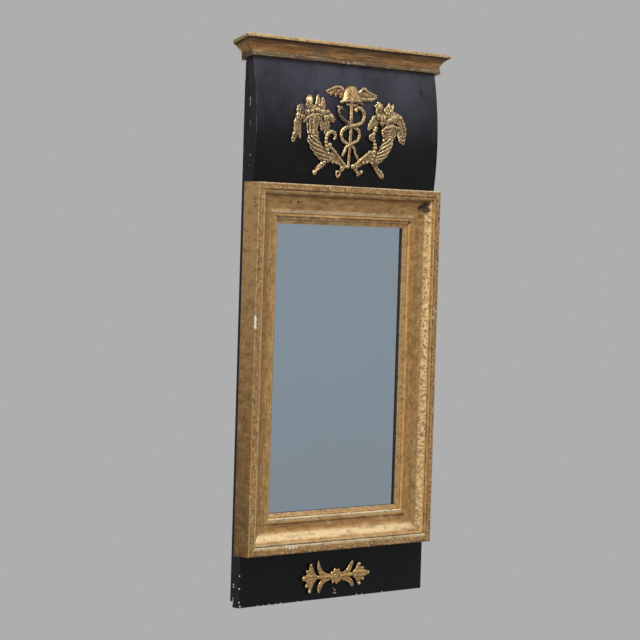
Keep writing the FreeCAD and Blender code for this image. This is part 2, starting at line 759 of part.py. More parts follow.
def tapered(place, whole, shares, sides=ROD_SIDES):
    """A faceted rod along a smooth curve; each share row is across, up, lift and radius."""
    points = [place(across, up, lift) for across, up, lift, radius in shares]
    curve = Part.BSplineCurve()
    curve.interpolate(points)
    stations = [(curve.parameter(point), row[3]) for point, row in zip(points, shares)]
    if len(shares) < FEW_ROWS:
        stations += [((first[0] + last[0]) / 2, (first[1] + last[1]) / 2)
                     for first, last in zip(stations, stations[1:])]
    turns = [2 * math.pi * (side + 0.5) / sides for side in range(sides)]
    rings = []
    for where, radius in sorted(stations):
        tangent = curve.tangent(where)[0]
        across = tangent.cross(Vector(0, 1, 0)).normalize()
        depth = across.cross(tangent).normalize()
        rings.append([curve.value(where) + (across * math.cos(turn) + depth * math.sin(turn))
                      * (radius * whole) for turn in turns])
    return faceted(rings)


def turned(seat, whole, shares, sides=DOME_SIDES):
    """A faceted upright form round a line through its seat; each row is height and radius."""
    turns = [2 * math.pi * (side + 0.5) / sides for side in range(sides)]
    rings = []
    for height, radius in shares:
        rings.append([seat + Vector(radius * math.cos(turn), radius * math.sin(turn), height)
                      * whole for turn in turns])
    return faceted(rings)


def balls(place, whole, shares):
    """Faceted fruit and knobs; each share row is across, up, lift and radius."""
    made = []
    for across, up, lift, radius in shares:
        tilts = [math.radians(degrees) for degrees in BALL_TILTS]
        rows = [(radius * math.sin(tilt), radius * math.cos(tilt)) for tilt in tilts]
        made.append(turned(place(across, up, lift), whole, rows, BALL_SIDES))
    return made


def casting(pieces, ground, *trims):
    """Cuts a casting's pieces to the board behind, fuses them and trims them to a neighbour."""
    whole = pieces[0].cut(ground)
    for piece in pieces[1:]:
        whole = whole.fuse(piece.cut(ground))
    for trim in trims:
        whole = whole.cut(trim)
    if len(whole.Solids) != 1:
        volumes = [round(one.Volume) for one in whole.Solids]
        raise RuntimeError(f"a casting came out as solids of {volumes} mm3")
    return whole.removeSplitter()


def bowed_ground():
    """Everything behind the bowed face."""
    top, foot = size("frieze_height"), size("foot_front")
    middle = top / 2
    arc = Part.Arc(Vector(0, foot, 0), Vector(0, bow_front(middle), middle),
                   Vector(0, size("head_front"), top)).toShape()
    far = -foot
    back_edges = Part.makePolygon([
        Vector(0, size("head_front"), top), Vector(0, far, top), Vector(0, far, 0),
        Vector(0, foot, 0),
    ])
    face = Part.Face(Part.Wire([arc] + back_edges.Edges))
    made = face.extrude(Vector(size("frieze_width"), 0, 0))
    made.translate(Vector(-size("frieze_width") / 2, 0, size("frame_top")))
    return made


def slab(x_from, x_to):
    """Everything in front of the wall between two places across."""
    depth, top = 3 * size("batten_thickness + frame_depth"), size("frieze_top")
    low = size("apron_bottom")
    return Part.makeBox(x_to - x_from, depth, top - low, Vector(x_from, -depth, low))


BEHIND_FRIEZE = bowed_ground()
HALF_GAP = size("crest_gap") / 2
CREST_MIDDLE = size("crest_offset")

staff_shares = [(0, 0.808, 0, 0.026), (-0.01, 0.5, 0, 0.022), (-0.02, 0.142, 0, 0.017)]
right_snake_shares = [
    (0.09, 0.752, 0.015, 0.018), (0.19, 0.757, 0.015, 0.021), (0.245, 0.70, 0.015, 0.023),
    (0.235, 0.635, 0.015, 0.023), (0.16, 0.582, 0.025, 0.023), (0, 0.552, 0.042, 0.022),
    (-0.14, 0.525, 0.018, 0.022), (-0.195, 0.475, 0.012, 0.021), (-0.175, 0.415, 0.008, 0.020),
    (-0.10, 0.368, 0, 0.018), (0, 0.345, 0, 0.016), (0.055, 0.30, 0.006, 0.014),
    (0.10, 0.225, 0.006, 0.009),
]
left_snake_shares = [
    (-0.202, 0.752, 0.012, 0.019), (-0.207, 0.666, 0.010, 0.022), (-0.138, 0.605, 0.004, 0.023),
    (-0.03, 0.567, 0, 0.023), (0.092, 0.531, 0.008, 0.022), (0.128, 0.479, 0.012, 0.021),
    (0.111, 0.425, 0.020, 0.020), (0.02, 0.378, 0.034, 0.018), (-0.082, 0.341, 0.022, 0.016),
    (-0.164, 0.236, 0.006, 0.010),
]
head_share = 0.026


def caduceus():
    """The staff with two snakes wound about it."""
    pieces = [tapered(on_frieze, CREST_HEIGHT, staff_shares)]
    for coil in (right_snake_shares, left_snake_shares):
        pieces.append(tapered(on_frieze, CREST_HEIGHT, coil))
        across, up, lift, radius = coil[0]
        pieces += balls(on_frieze, CREST_HEIGHT, [(across, up, lift, head_share)])
    return casting(pieces, BEHIND_FRIEZE)


def helmet():
    """The round helmet with its brim, between two wings."""
    seat = on_frieze(0, 0.81, -0.078)
    dome_shares = [
        (0, 0.120), (0.018, 0.162), (0.040, 0.122), (0.095, 0.114), (0.145, 0.086),
        (0.180, 0.045), (0.190, 0.012),
    ]
    wing_shares = [
        (0.12, 0.865, 0, 0.040), (0.22, 0.925, 0, 0.050), (0.34, 0.925, 0, 0.042),
        (0.44, 0.895, 0, 0.020),
    ]
    pieces = [turned(seat, CREST_HEIGHT, dome_shares)]
    for hand in (1, -1):
        feather = [(hand * across, up, lift, radius) for across, up, lift, radius in wing_shares]
        pieces.append(tapered(on_frieze, CREST_HEIGHT, feather))
    return casting(pieces, BEHIND_FRIEZE)


def cornucopia():
    """The right-hand horn of plenty with its fruit, hook, arm, foot and curl."""
    horn_shares = [
        (0.70, 0.635, -0.07, 0.135), (0.69, 0.54, -0.045, 0.105), (0.685, 0.46, -0.02, 0.076),
        (0.65, 0.37, -0.016, 0.066), (0.57, 0.28, -0.012, 0.055), (0.46, 0.175, -0.008, 0.042),
    ]
    hook_shares = [
        (0.40, 0.19, 0, 0.036), (0.43, 0.28, 0, 0.029), (0.455, 0.37, 0, 0.024),
        (0.445, 0.44, 0, 0.021), (0.395, 0.475, 0, 0.019), (0.345, 0.455, 0, 0.017),
        (0.33, 0.42, 0, 0.015),
    ]
    arm_shares = [
        (0.46, 0.18, 0, 0.040), (0.32, 0.225, 0, 0.030), (0.17, 0.15, 0, 0.022),
        (0.07, 0.09, 0, 0.019), (-0.02, 0.085, 0, 0.018),
    ]
    foot_shares = [(0.46, 0.18, 0, 0.036), (0.54, 0.10, 0, 0.022), (0.645, 0.03, 0, 0.027)]
    curl_shares = [(0.13, 0.12, 0, 0.020), (0.17, 0.06, 0, 0.017), (0.20, 0.02, 0, 0.018)]
    strand_shares = [(0.91, 0.66, 0, 0.050), (0.965, 0.53, 0, 0.038), (1.0, 0.40, 0, 0.014)]
    leaf_shares = [(0.52, 0.64, 0, 0.045), (0.42, 0.59, 0, 0.040), (0.33, 0.57, 0, 0.020)]
    bud_shares = [(0.74, 0.75, 0, 0.036), (0.76, 0.83, 0, 0.032), (0.775, 0.885, 0, 0.010)]
    berry_shares = [(0.58, 0.74, 0.004, 0.034), (0.575, 0.82, 0, 0.030), (0.585, 0.865, 0, 0.010)]
    fruit_shares = [
        (0.51, 0.67, -0.01, 0.058), (0.615, 0.722, -0.01, 0.066), (0.74, 0.69, -0.02, 0.078),
        (0.87, 0.69, -0.01, 0.058),
    ]
    knob_shares = [(0.33, 0.43, 0, 0.024), (0.205, 0.015, 0, 0.027)]
    rods = (hook_shares, arm_shares, foot_shares, curl_shares, strand_shares,
            leaf_shares, bud_shares, berry_shares)
    rim_shares = [(-0.018, 0.122), (0, 0.143), (0.018, 0.122)]
    band_shares = [(-0.016, 0.074), (0, 0.092), (0.016, 0.074)]
    pieces = [tapered(on_frieze, CREST_HEIGHT, horn_shares, DOME_SIDES)]
    pieces += [tapered(on_frieze, CREST_HEIGHT, rod) for rod in rods]
    pieces += balls(on_frieze, CREST_HEIGHT, fruit_shares + knob_shares)
    for (across, up, lift, radius), hoop in ((horn_shares[0], rim_shares),
                                             (horn_shares[2], band_shares)):
        pieces.append(turned(on_frieze(across, up, lift), CREST_HEIGHT, hoop))
    other_half = slab(CREST_MIDDLE - CREST_HALF, CREST_MIDDLE + HALF_GAP)
    return casting(pieces, BEHIND_FRIEZE, other_half)


solid_feature("caduceus", caduceus())
solid_feature("winged_helmet", helmet())
horn_right = cornucopia()
solid_feature("cornucopia_right", horn_right)
solid_feature("cornucopia_left", horn_right.mirror(Vector(CREST_MIDDLE, 0, 0), Vector(1, 0, 0)))


def behind_apron():
    """Everything behind the apron's face."""
    width, height = size("apron_width"), size("apron_height")
    corner = Vector(-width / 2, size("back - apron_thickness"), size("apron_bottom"))
    return Part.makeBox(width, size("apron_thickness"), height, corner)


def rosette():
    """A flower of six petals round a button."""
    petal_count = 6
    petal_share, reach_share, button_share = 0.36, 0.64, 0.30
    radius = size("rosette_radius") / SPRAY_HEIGHT
    shares = [(0, 0, 0, button_share * radius + petal_share * radius / 2)]
    for number in range(petal_count):
        turn = 2 * math.pi * number / petal_count
        across = reach_share * radius * math.cos(turn) * SPRAY_HEIGHT / SPRAY_HALF
        shares.append((across, reach_share * radius * math.sin(turn), 0, petal_share * radius))
    return casting(balls(on_apron, SPRAY_HEIGHT, shares), behind_apron())


def leaf_spray():
    """The right-hand spray: a stem, two curved leaves and the two side lobes of a palmette."""
    stem_shares = [
        (0.12, 0, 0, 0.13), (0.32, -0.01, 0, 0.09), (0.48, 0, 0, 0.11), (0.70, 0.02, 0, 0.17),
        (0.85, 0.03, 0, 0.19), (0.98, 0.04, 0, 0.05),
    ]
    leaf_shares = [
        [(0.15, 0.05, 0, 0.09), (0.35, 0.20, 0.01, 0.12), (0.47, 0.51, 0, 0.10),
         (0.53, 0.98, 0, 0.03)],
        [(0.15, -0.07, 0, 0.10), (0.33, -0.23, 0.01, 0.12), (0.45, -0.55, 0, 0.11),
         (0.50, -0.93, 0, 0.03)],
        [(0.57, 0.05, 0, 0.10), (0.68, 0.30, 0.01, 0.15), (0.73, 0.55, 0, 0.13),
         (0.725, 0.80, 0, 0.04)],
        [(0.56, -0.03, 0, 0.11), (0.66, -0.31, 0.01, 0.14), (0.72, -0.57, 0, 0.13),
         (0.71, -0.86, 0, 0.04)],
    ]
    pieces = [tapered(on_apron, SPRAY_HEIGHT, stem_shares)]
    pieces += [tapered(on_apron, SPRAY_HEIGHT, shares) for shares in leaf_shares]
    middle = on_apron(0, 0, 0)
    deep = size("batten_thickness + frame_depth")
    disc = Part.makeCylinder(size("rosette_radius + crest_gap"), 2 * deep,
                             Vector(middle.x, middle.y - deep, middle.z), Vector(0, 1, 0))
    return casting(pieces, behind_apron(), disc)


solid_feature("rosette", rosette())
spray_right = leaf_spray()
spray_middle = Vector(size("spray_offset"), 0, 0)
solid_feature("leaf_spray_right", spray_right)
solid_feature("leaf_spray_left", spray_right.mirror(spray_middle, Vector(1, 0, 0)))

doc.recompute()

# Checks and files

for thing in doc.Objects:
    if {"Invalid", "Error"} & set(thing.State):
        raise RuntimeError(f"{thing.Name} is {thing.State}")

NODES = [
    "frame_rail_top", "frame_rail_bottom", "frame_stile_left", "frame_stile_right",
    "mirror_glass", "glazing_blocks", "backboard_upper", "backboard_lower", "backboard_nails",
    "back_batten_left", "back_batten_right", "batten_nails_left", "batten_nails_right",
    "upper_tie", "lower_tie", "frieze_board", "frieze_rib_left", "frieze_rib_right",
    "hanger_rail", "cornice_front", "cornice_return_left", "cornice_return_right",
    "cornice_core", "cornice_glue_blocks", "apron_board", "hanger_eye", "hanging_ring",
    "caduceus", "winged_helmet", "cornucopia_left", "cornucopia_right", "rosette",
    "leaf_spray_left", "leaf_spray_right",
]
os.makedirs("parts", exist_ok=True)
for name in NODES:
    thing = doc.getObject(name)
    shape = thing.Shape
    if shape.isNull() or not shape.isValid() or not shape.Solids:
        raise RuntimeError(f"{name} has no valid shape")
    shape.exportStep(f"parts/{name}.step")
    print(f"{name}: {len(shape.Solids)} solids, {shape.Volume / 1000:.2f} cm3")
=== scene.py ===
"""Looks of the pier mirror: worn gilding, black boards, an old plate and gilt relief castings.

Metres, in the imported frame: X to the right, Y into the wall, Z up. Lengths named _mm are
millimetres.
"""

import math
import random

import bmesh
import bpy
from mathutils import Matrix, Vector


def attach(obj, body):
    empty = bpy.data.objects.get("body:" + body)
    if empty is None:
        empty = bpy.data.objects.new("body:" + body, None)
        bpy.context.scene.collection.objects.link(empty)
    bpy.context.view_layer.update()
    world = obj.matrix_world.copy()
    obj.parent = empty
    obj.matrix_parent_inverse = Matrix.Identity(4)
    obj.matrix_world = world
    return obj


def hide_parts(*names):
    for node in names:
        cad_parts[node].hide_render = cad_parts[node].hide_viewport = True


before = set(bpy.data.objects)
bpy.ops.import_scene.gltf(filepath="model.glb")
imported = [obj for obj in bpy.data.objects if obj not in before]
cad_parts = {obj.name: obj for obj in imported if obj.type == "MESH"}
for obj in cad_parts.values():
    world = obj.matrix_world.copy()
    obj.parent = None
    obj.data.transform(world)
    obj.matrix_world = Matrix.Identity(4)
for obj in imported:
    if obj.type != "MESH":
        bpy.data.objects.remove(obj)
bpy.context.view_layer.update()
MM = 0.001

# Lay-out of the object, in millimetres

FRONT, FRAME_DEPTH = -41, 31
FRAME_TOP, FRAME_MIDDLE, FRAME_BOTTOM = -114, -375.5, -637
HALF_WIDTH, HALF_HEIGHT, MOULDING = 182, 261.5, 56.4
PLATE_HALF_WIDTH, PLATE_HALF_HEIGHT = 132.1, 211.6
FRIEZE_TOP, FRIEZE_HEIGHT, FRIEZE_HALF, FRIEZE_THICKNESS = 60, 174, 181.5, 13
FOOT_FRONT, HEAD_FRONT, BULGE = -26.2, -20.4, 7.4
CORNICE_HEIGHT, TILT = 25.6, math.radians(17)
APRON_HALF, APRON_FRONT = 182.5, -24

# The relief as drawn from the front left: its raised parts shift to the left, and the frieze's
# drawing is moved, leaned and narrowed a little; past RELIEF_FRONT its height is pressed flat

SIDEWAYS, LIFT_SHARE = 0.947, 0.7
RELIEF_FRONT, PRESSED = -37.6, 0.2
UP, UP_LOSS, LOSS_FROM = 2.9, 0.027, 15
SHIFT, LEAN, NARROWED = 6.6, 0.0195, 0.987
STEM, SPRAY_MIDDLE = -39.6, 2
ROSE_X, ROSE_HEIGHT = 4.2, -40.2
COARSE_VOXEL, FINE_VOXEL = 0.9, 0.48

chord = math.hypot(FRIEZE_HEIGHT, HEAD_FRONT - FOOT_FRONT)
BOW = chord**2 / (8 * BULGE) + BULGE / 2
chord_y, chord_z = (HEAD_FRONT - FOOT_FRONT) / chord, FRIEZE_HEIGHT / chord
BOW_Y = (FOOT_FRONT + HEAD_FRONT) / 2 + chord_z * (BOW - BULGE)
BOW_Z = FRAME_TOP + FRIEZE_HEIGHT / 2 - chord_y * (BOW - BULGE)


def bow_front(z_mm):
    """The bowed face's depth at a height."""
    return BOW_Y - math.sqrt(BOW**2 - (z_mm - BOW_Z) ** 2)


# Materials


def tone(red, green, blue):
    """A linear colour from display values."""
    made = []
    for part in (red, green, blue):
        share = part / 255
        made.append(share / 12.92 if share < 0.04045 else ((share + 0.055) / 1.055) ** 2.4)
    return (*made, 1)


class Nodes:
    """A node tree, filled with short calls."""

    def __init__(self, tree):
        self.nodes, self.links = tree.nodes, tree.links

    def plug(self, socket, value):
        if isinstance(value, bpy.types.NodeSocket):
            self.links.new(value, socket)
        else:
            socket.default_value = value

    def node(self, kind, inputs=(), **settings):
        """A new node with its settings and its inputs."""
        node = self.nodes.new("ShaderNode" + kind)
        for name, value in settings.items():
            setattr(node, name, value)
        for socket, value in dict(inputs).items():
            self.plug(node.inputs[socket], value)
        return node

    def vector(self, operation, first, second):
        made = self.node("VectorMath", {0: first, 1: second}, operation=operation).outputs
        return made["Value"] if operation in ("DISTANCE", "DOT_PRODUCT") else made[0]

    def do(self, operation, *values):
        return self.node("Math", enumerate(values), operation=operation).outputs[0]

    def chain(self, operation, values):
        total = values[0]
        for value in values[1:]:
            total = self.do(operation, total, value)
        return total

    def add(self, *values):
        return self.chain("ADD", values)

    def times(self, *values):
        return self.chain("MULTIPLY", values)

    def most(self, *values):
        return self.chain("MAXIMUM", values)

    def less(self, value):
        return self.do("SUBTRACT", 1, value)

    def step(self, value, low, high, share=1):
        """Rises smoothly from 0 at low to share at high, or falls where low is the greater."""
        start, end = (share, 0) if low > high else (0, share)
        inputs = {"Value": value, "From Min": min(low, high), "From Max": max(low, high),
                  "To Min": start, "To Max": end}
        return self.node("MapRange", inputs, interpolation_type="SMOOTHSTEP").outputs["Result"]

    def band(self, value, low, high, soft, share=1):
        """The share between two values, with soft ends."""
        return self.times(self.step(value, low - soft, low),
                          self.step(value, high + soft, high, share))


class Graph(Nodes):
    """One material's nodes; colours are display values."""

    def __init__(self, name):
        self.material = bpy.data.materials.new(name)
        self.material.use_nodes = True
        super().__init__(self.material.node_tree)
        place = self.node("TexCoord").outputs["Object"]
        self.mm = self.node("VectorMath", {0: place, "Scale": 1 / MM}, operation="SCALE").outputs[0]
        self.x, self.y, self.z = self.split(self.mm)
        self.facing = self.split(self.node("NewGeometry").outputs["Normal"])
        self.colour = None

    def split(self, value, kind="XYZ"):
        return self.node("Separate" + kind, {0: value}).outputs

    def inward(self, half_width, half_height):
        """The distance inward from the sides of a rectangle round the frame's middle."""
        across = self.do("SUBTRACT", half_width, self.do("ABSOLUTE", self.x))
        from_middle = self.do("ABSOLUTE", self.add(self.z, -FRAME_MIDDLE))
        return self.do("MINIMUM", across, self.do("SUBTRACT", half_height, from_middle))

    def grid(self, size, shift):
        """Coordinates whose unit is a size in millimetres: one, or those along X, Z and Y."""
        across, up, deep = size if isinstance(size, tuple) else (size,) * 3
        scaled = self.vector("MULTIPLY", self.mm, (1 / across, 1 / deep, 1 / up))
        return self.vector("ADD", scaled, shift)

    def noise(self, size, detail=2, rough=0.5, shift=(0, 0, 0), distortion=0):
        inputs = {"Vector": self.grid(size, shift), "Scale": 1, "Detail": detail,
                  "Roughness": rough, "Distortion": distortion}
        return self.node("TexNoise", inputs).outputs["Fac"]

    def dots(self, size, share, radius, soft, shift=(0, 0, 0)):
        """Round dots in a share of the cells; radius is in cells."""
        cells = self.node("TexVoronoi", {"Vector": self.grid(size, shift), "Scale": 1}).outputs
        parts = self.split(cells["Color"], "Color")
        there = self.do("LESS_THAN", parts[0], share)
        reach = self.times(radius, self.add(0.55, self.times(parts[1], 0.6)))
        near = self.do("SUBTRACT", reach, cells["Distance"])
        return self.times(there, self.step(near, -soft / 2, soft))

    def spots(self, places, ragged):
        """Ragged marks at given places; each place is x, y, z and radius in millimetres."""
        edge = self.times(self.add(self.noise(2.2, 3, 0.7), -0.5), ragged * 4)
        marks = []
        for x, y, z, radius in places:
            away = self.do("DIVIDE", self.vector("DISTANCE", self.mm, (x, y, z)), radius)
            marks.append(self.step(self.add(away, edge), 1, 0.8))
        return self.most(*marks)

    def ramp(self, value, stops):
        """Colours along a value; each stop is a place from 0 to 1 and a colour."""
        node = self.node("ValToRGB", {0: value})
        points = node.color_ramp.elements
        while len(points) < len(stops):
            points.new(0.5)
        for point, (where, *_) in zip(points, stops):
            point.position = where
        for point, (_, *colour) in zip(points, stops):
            point.color = tone(*colour)
        return node.outputs["Color"]

    def mix(self, share, first, second, amount=None):
        """Goes from the first colour to the second by a share, or by that part of it."""
        inputs = {"Factor": share if amount is None else self.times(share, amount)}
        for socket, colour in ((6, first), (7, second)):
            inputs[socket] = tone(*colour) if isinstance(colour, tuple) else colour
        return self.node("Mix", inputs, data_type="RGBA").outputs[2]

    def paint(self, share, colour, amount=None):
        """Lays a colour over the material's colour so far."""
        self.colour = self.mix(share, self.colour, colour, amount)

    def bump(self, height, depth_mm, strength):
        inputs = {"Height": height, "Distance": depth_mm * MM, "Strength": strength}
        return self.node("Bump", inputs).outputs[0]

    def finish(self, **inputs):
        shader = self.nodes["Principled BSDF"]
        for name, value in {"base_color": self.colour, **inputs}.items():
            self.plug(shader.inputs[name.replace("_", " ").title().replace("Ior", "IOR")], value)
        return self.material


BOLE, DIRT_AND_SHADE, GESSO, WOOD = (112, 62, 34), (52, 33, 18), (226, 219, 205), (150, 112, 74)


def worn_gold(g, dirt_and_shade, speckle, light, streak, gesso, bare, drawn):
    """Turns shares of dirt and painted shade, specks, gesso and bare wood into gilding, mottled as
    drawn out.
    """
    patches = g.noise(34, 4, 0.62, (3, 5, 7))
    g.paint(g.step(patches, 0.54, 0.74, 0.34), (138, 84, 44))
    g.paint(g.step(streak, 0.35, 0.75, 0.24), (226, 190, 128))
    g.paint(g.step(streak, 0.5, 0.22, 0.4), (112, 82, 42))
    mottle = g.noise(drawn, 4, 0.72, (2, 2, 9))
    g.paint(g.step(mottle, 0.5, 0.36, 0.42), (100, 70, 36))
    g.paint(g.step(mottle, 0.52, 0.66, 0.34), (236, 204, 146))
    worms = g.dots(11, 0.62, 0.105, 0.04)
    small = g.dots((7, 7, 6), 0.5, 0.17, 0.1, (2, 9, 4))
    # grime holds real dirt and specks, and also the painted shade that comes in with the dirt share
    grime = g.most(dirt_and_shade, g.times(small, 0.7), speckle)
    g.paint(light, (244, 218, 170), 0.75)
    g.paint(grime, DIRT_AND_SHADE)
    g.paint(g.step(g.noise(3.1, 3, 0.6, (8, 1, 2)), 0.58, 0.7, 0.5), BOLE)
    g.paint(worms, (30, 19, 10))
    g.paint(gesso, GESSO)
    g.paint(bare, g.mix(streak, WOOD, (112, 78, 48), 0.6))
    dull = g.most(grime, worms, gesso, bare)
    metal = g.times(g.less(g.times(dull, 0.9)), 0.72)
    rough = g.add(g.times(g.noise(9, 3, 0.6), 0.16), 0.27, g.times(dull, 0.33))
    height = g.add(g.times(grime, -0.35), g.times(worms, -1), g.times(streak, 0.25))
    return g.finish(metallic=metal, roughness=rough, normal=g.bump(height, 0.5, 0.7))


DARK, RUST, PALE, CREAM = (58, 36, 18), (116, 70, 32), (240, 192, 120), (255, 238, 196)

# Bands round the frame, painted shade and highlights where each length faces the light or turns
# from it, with some wear: from, to, softness, share and colour

RAIL_TOP_SHADING_AND_WEAR = [
    (0.4, 1.6, 0.6, 0.4, CREAM), (8.6, 11.2, 0.6, 0.7, DARK), (12.2, 13.8, 0.6, 0.55, PALE),
    (15, 18, 1.8, 0.62, DARK), (22, 32, 4, 0.1, RUST), (37.5, 41, 2, 0.36, CREAM),
    (45.8, 48.4, 0.7, 0.9, DARK)]
RAIL_BOTTOM_SHADING_AND_WEAR = [
    (-2, 0.8, 1.6, 0.92, DARK), (9.2, 12, 0.5, 0.95, CREAM), (12.6, 13.4, 0.3, 0.6, DARK),
    (13.8, 16, 0.6, 0.4, CREAM), (21, 26.5, 4, 0.46, CREAM), (34, 39, 4, 0.34, RUST),
    (40.2, 41.6, 0.7, 0.6, DARK), (42.2, 45.4, 0.6, 0.75, PALE), (45.8, 49.4, 0.5, 0.97, CREAM),
    (52, 56, 0.8, 0.45, RUST)]
STILE_SHADING_AND_WEAR = [
    (1.5, 5, 1.5, 0.12, DARK), (10.4, 12, 0.6, 0.3, CREAM), (13.2, 15.2, 0.5, 0.7, PALE),
    (23, 25.5, 1.5, 0.2, RUST), (31, 36, 3, 0.18, RUST), (41.4, 46.2, 0.5, 0.7, PALE),
    (50, 51.4, 0.4, 0.8, PALE)]


def frame_gilding(name, upright, shading_and_wear, flecks_and_highlight):
    """The frame's gilding, laid out by the distance from the frame's outer edge."""
    g = Graph(name)
    inward = g.inward(HALF_WIDTH, HALF_HEIGHT)
    wander = g.noise(30, 2)
    inward = g.add(inward, g.times(g.add(wander, -0.5), 0.8))
    depth = g.add(g.y, -FRONT)
    streak = g.noise((1.6, 60, 1.6) if upright else (60, 1.6, 1.6), 4, 0.65)
    g.colour = g.ramp(g.do("DIVIDE", inward, MOULDING), [
        (0, 196, 156, 102), (0.03, 170, 126, 74), (0.15, 178, 133, 78), (0.172, 150, 108, 62),
        (0.195, 222, 178, 114), (0.232, 148, 108, 64), (0.262, 176, 132, 76), (0.34, 192, 148, 90),
        (0.5, 198, 152, 93), (0.66, 182, 136, 80), (0.72, 176, 130, 74), (0.738, 134, 94, 50),
        (0.765, 186, 136, 76), (0.815, 190, 142, 80), (0.842, 230, 184, 120),
        (0.872, 226, 182, 120), (0.893, 158, 114, 66), (0.92, 208, 164, 106),
        (0.985, 208, 168, 118), (1, 228, 200, 158)])
    # Painted shade and highlights, with some wear, laid on in bands
    for *band, colour in shading_and_wear:
        g.paint(g.band(inward, *band), colour)
    # Painted shade: two bands darkened on the left stile only, a shaded copy of the right stile's
    # gilding
    if upright:
        left_stile_shade = g.most(g.band(inward, 40.5, 52, 0.8, 0.26), g.band(inward, 8.4, 12.4, 0.6, 0.18))
        g.paint(g.times(left_stile_shade, g.step(g.x, -1, -2)), DARK)
    side = g.times(g.step(inward, 1.2, 0.4), g.step(depth, 1.4, 2.2))
    side_leaf = g.ramp(g.do("DIVIDE", depth, FRAME_DEPTH), [
        (0.05, 176, 128, 74), (0.16, 162, 116, 66), (0.34, 150, 112, 64), (0.55, 146, 110, 66),
        (0.8, 152, 112, 66), (1, 128, 92, 54)])
    # The frame's sides grow paler gold towards the top
    side_paler_upward = g.mix(g.step(g.z, -640, -130, 0.85), side_leaf, (232, 184, 122))
    g.paint(side, side_paler_upward)
    rubbed = g.most(g.band(inward, 0.8, 8.6, 0.6), g.band(inward, 9.8, 12.8, 0.3, 0.6),
                    g.band(inward, 46.6, 50, 0.4, 0.6), g.band(inward, 50.6, 56, 0.4, 0.6), 0.18)
    rubbed = g.times(rubbed, g.less(side))
    thick = g.step(g.noise(40, 2, shift=(4, 4, 1)), 0.34, 0.62)
    fine = g.noise((3, 3, 2.6), 3, 0.75, (1, 2, 3))
    blots = g.dots((5.6, 6, 4.6), 0.5, 0.3, 0.14, (7, 7, 7))
    specks = g.times(g.most(g.step(fine, 0.55, 0.62, 0.85), blots), rubbed,
                     g.add(0.45, g.times(thick, 0.55)))
    pale = g.noise((3.6, 3.6, 3.2), 3, 0.7, (9, 5, 3))
    light = g.times(g.step(pale, 0.55, 0.64), rubbed, 0.85)
    # Painted highlight: on the stiles a pale flecked band along the cove where it faces the light,
    # with dark holes in it
    if flecks_and_highlight:
        streaky = g.noise((5, 5, 6), 4, 0.75, (6, 2, 1))
        band = g.band(inward, 16.4, 22.4, 1.3)
        light = g.most(light, g.times(band, g.add(0.14, g.step(streaky, 0.47, 0.57, 0.66))))
        holes = g.dots((5.4, 5.4, 4.6), 0.5, 0.26, 0.12, (1, 8, 8))
        specks = g.most(specks, g.times(g.band(inward, 14, 26, 1.5), holes, 0.85),
                        g.times(band, g.step(streaky, 0.48, 0.4), 0.4))
    quirks = g.most(g.band(inward, 9.3, 9.8, 0.25), g.band(inward, 12.9, 13.7, 0.3),
                    g.band(inward, 41.2, 42.2, 0.4), g.band(inward, 46, 46.7, 0.3),
                    g.band(inward, 50.1, 50.9, 0.3))
    # Painted shadow: the lip's reveal beside the plate, darkened through the dirt share
    reveal_shadow = g.times(g.step(inward, 55.6, 56.1), g.step(depth, 22.7, 23))
    burnt = g.spots([
        (158, -31, -137, 8.5), (163, -31, -143, 6.5), (167, -31, -133, 6.5), (151, -31, -140, 6),
        (153, -31, -152, 4.5), (-96, -27, -139, 3.4), (-90, -27, -137, 3.4),
        (-84, -27, -134.5, 2.8), (-110, -27, -139, 2.6), (133, -24, -162, 3.6)], 0.7)
    fluff = g.spots([(150, -31, -145, 5), (147.5, -31, -149, 3.6), (155, -31, -143, 4)], 0.6)
    dirt_and_shade = g.most(g.times(quirks, 0.15), g.times(reveal_shadow, 0.95))
    worn_edge = g.times(g.band(inward, -1, 0.7, 0.3),
                        g.step(g.noise(9, 3, 0.7, (6, 6, 6)), 0.64, 0.7), g.step(depth, 2, 0.8))
    gesso = g.most(g.times(worn_edge, 0.7), g.spots([
        (-181.9, -40.6, -301, 2.2), (-181.9, -40.8, -304.5, 2.6), (-181.8, -40.8, -308.5, 2.6),
        (-181.8, -40.8, -312.5, 2.6), (-181.8, -40.6, -316, 2.2), (172.4, -41, -301.6, 1.6),
        (-181.6, -40.6, -158, 1), (-181, -41, -640, 1.2), (160, -37, -532, 2), (161, -37, -539, 2),
        (-104, -39.5, -627, 3.4), (-97, -39, -627.5, 3.2), (-110, -39.2, -626.5, 3),
        (-116, -39.2, -626.5, 2.4), (-91, -39.4, -627.5, 2.6)], 0.25))
    bare = g.most(g.step(depth, 30.4, 30.7),
                  g.times(g.step(inward, 48, 48.6), g.step(depth, 26.2, 26.5)))
    g.paint(fluff, (112, 104, 98), 0.85)
    g.paint(burnt, (42, 28, 34), 0.95)
    light = g.times(light, g.less(burnt))
    return worn_gold(g, g.most(dirt_and_shade, g.times(burnt, 0.75)), specks, light, streak, gesso, bare,
                     (7, 9, 20) if upright else (20, 9, 7))


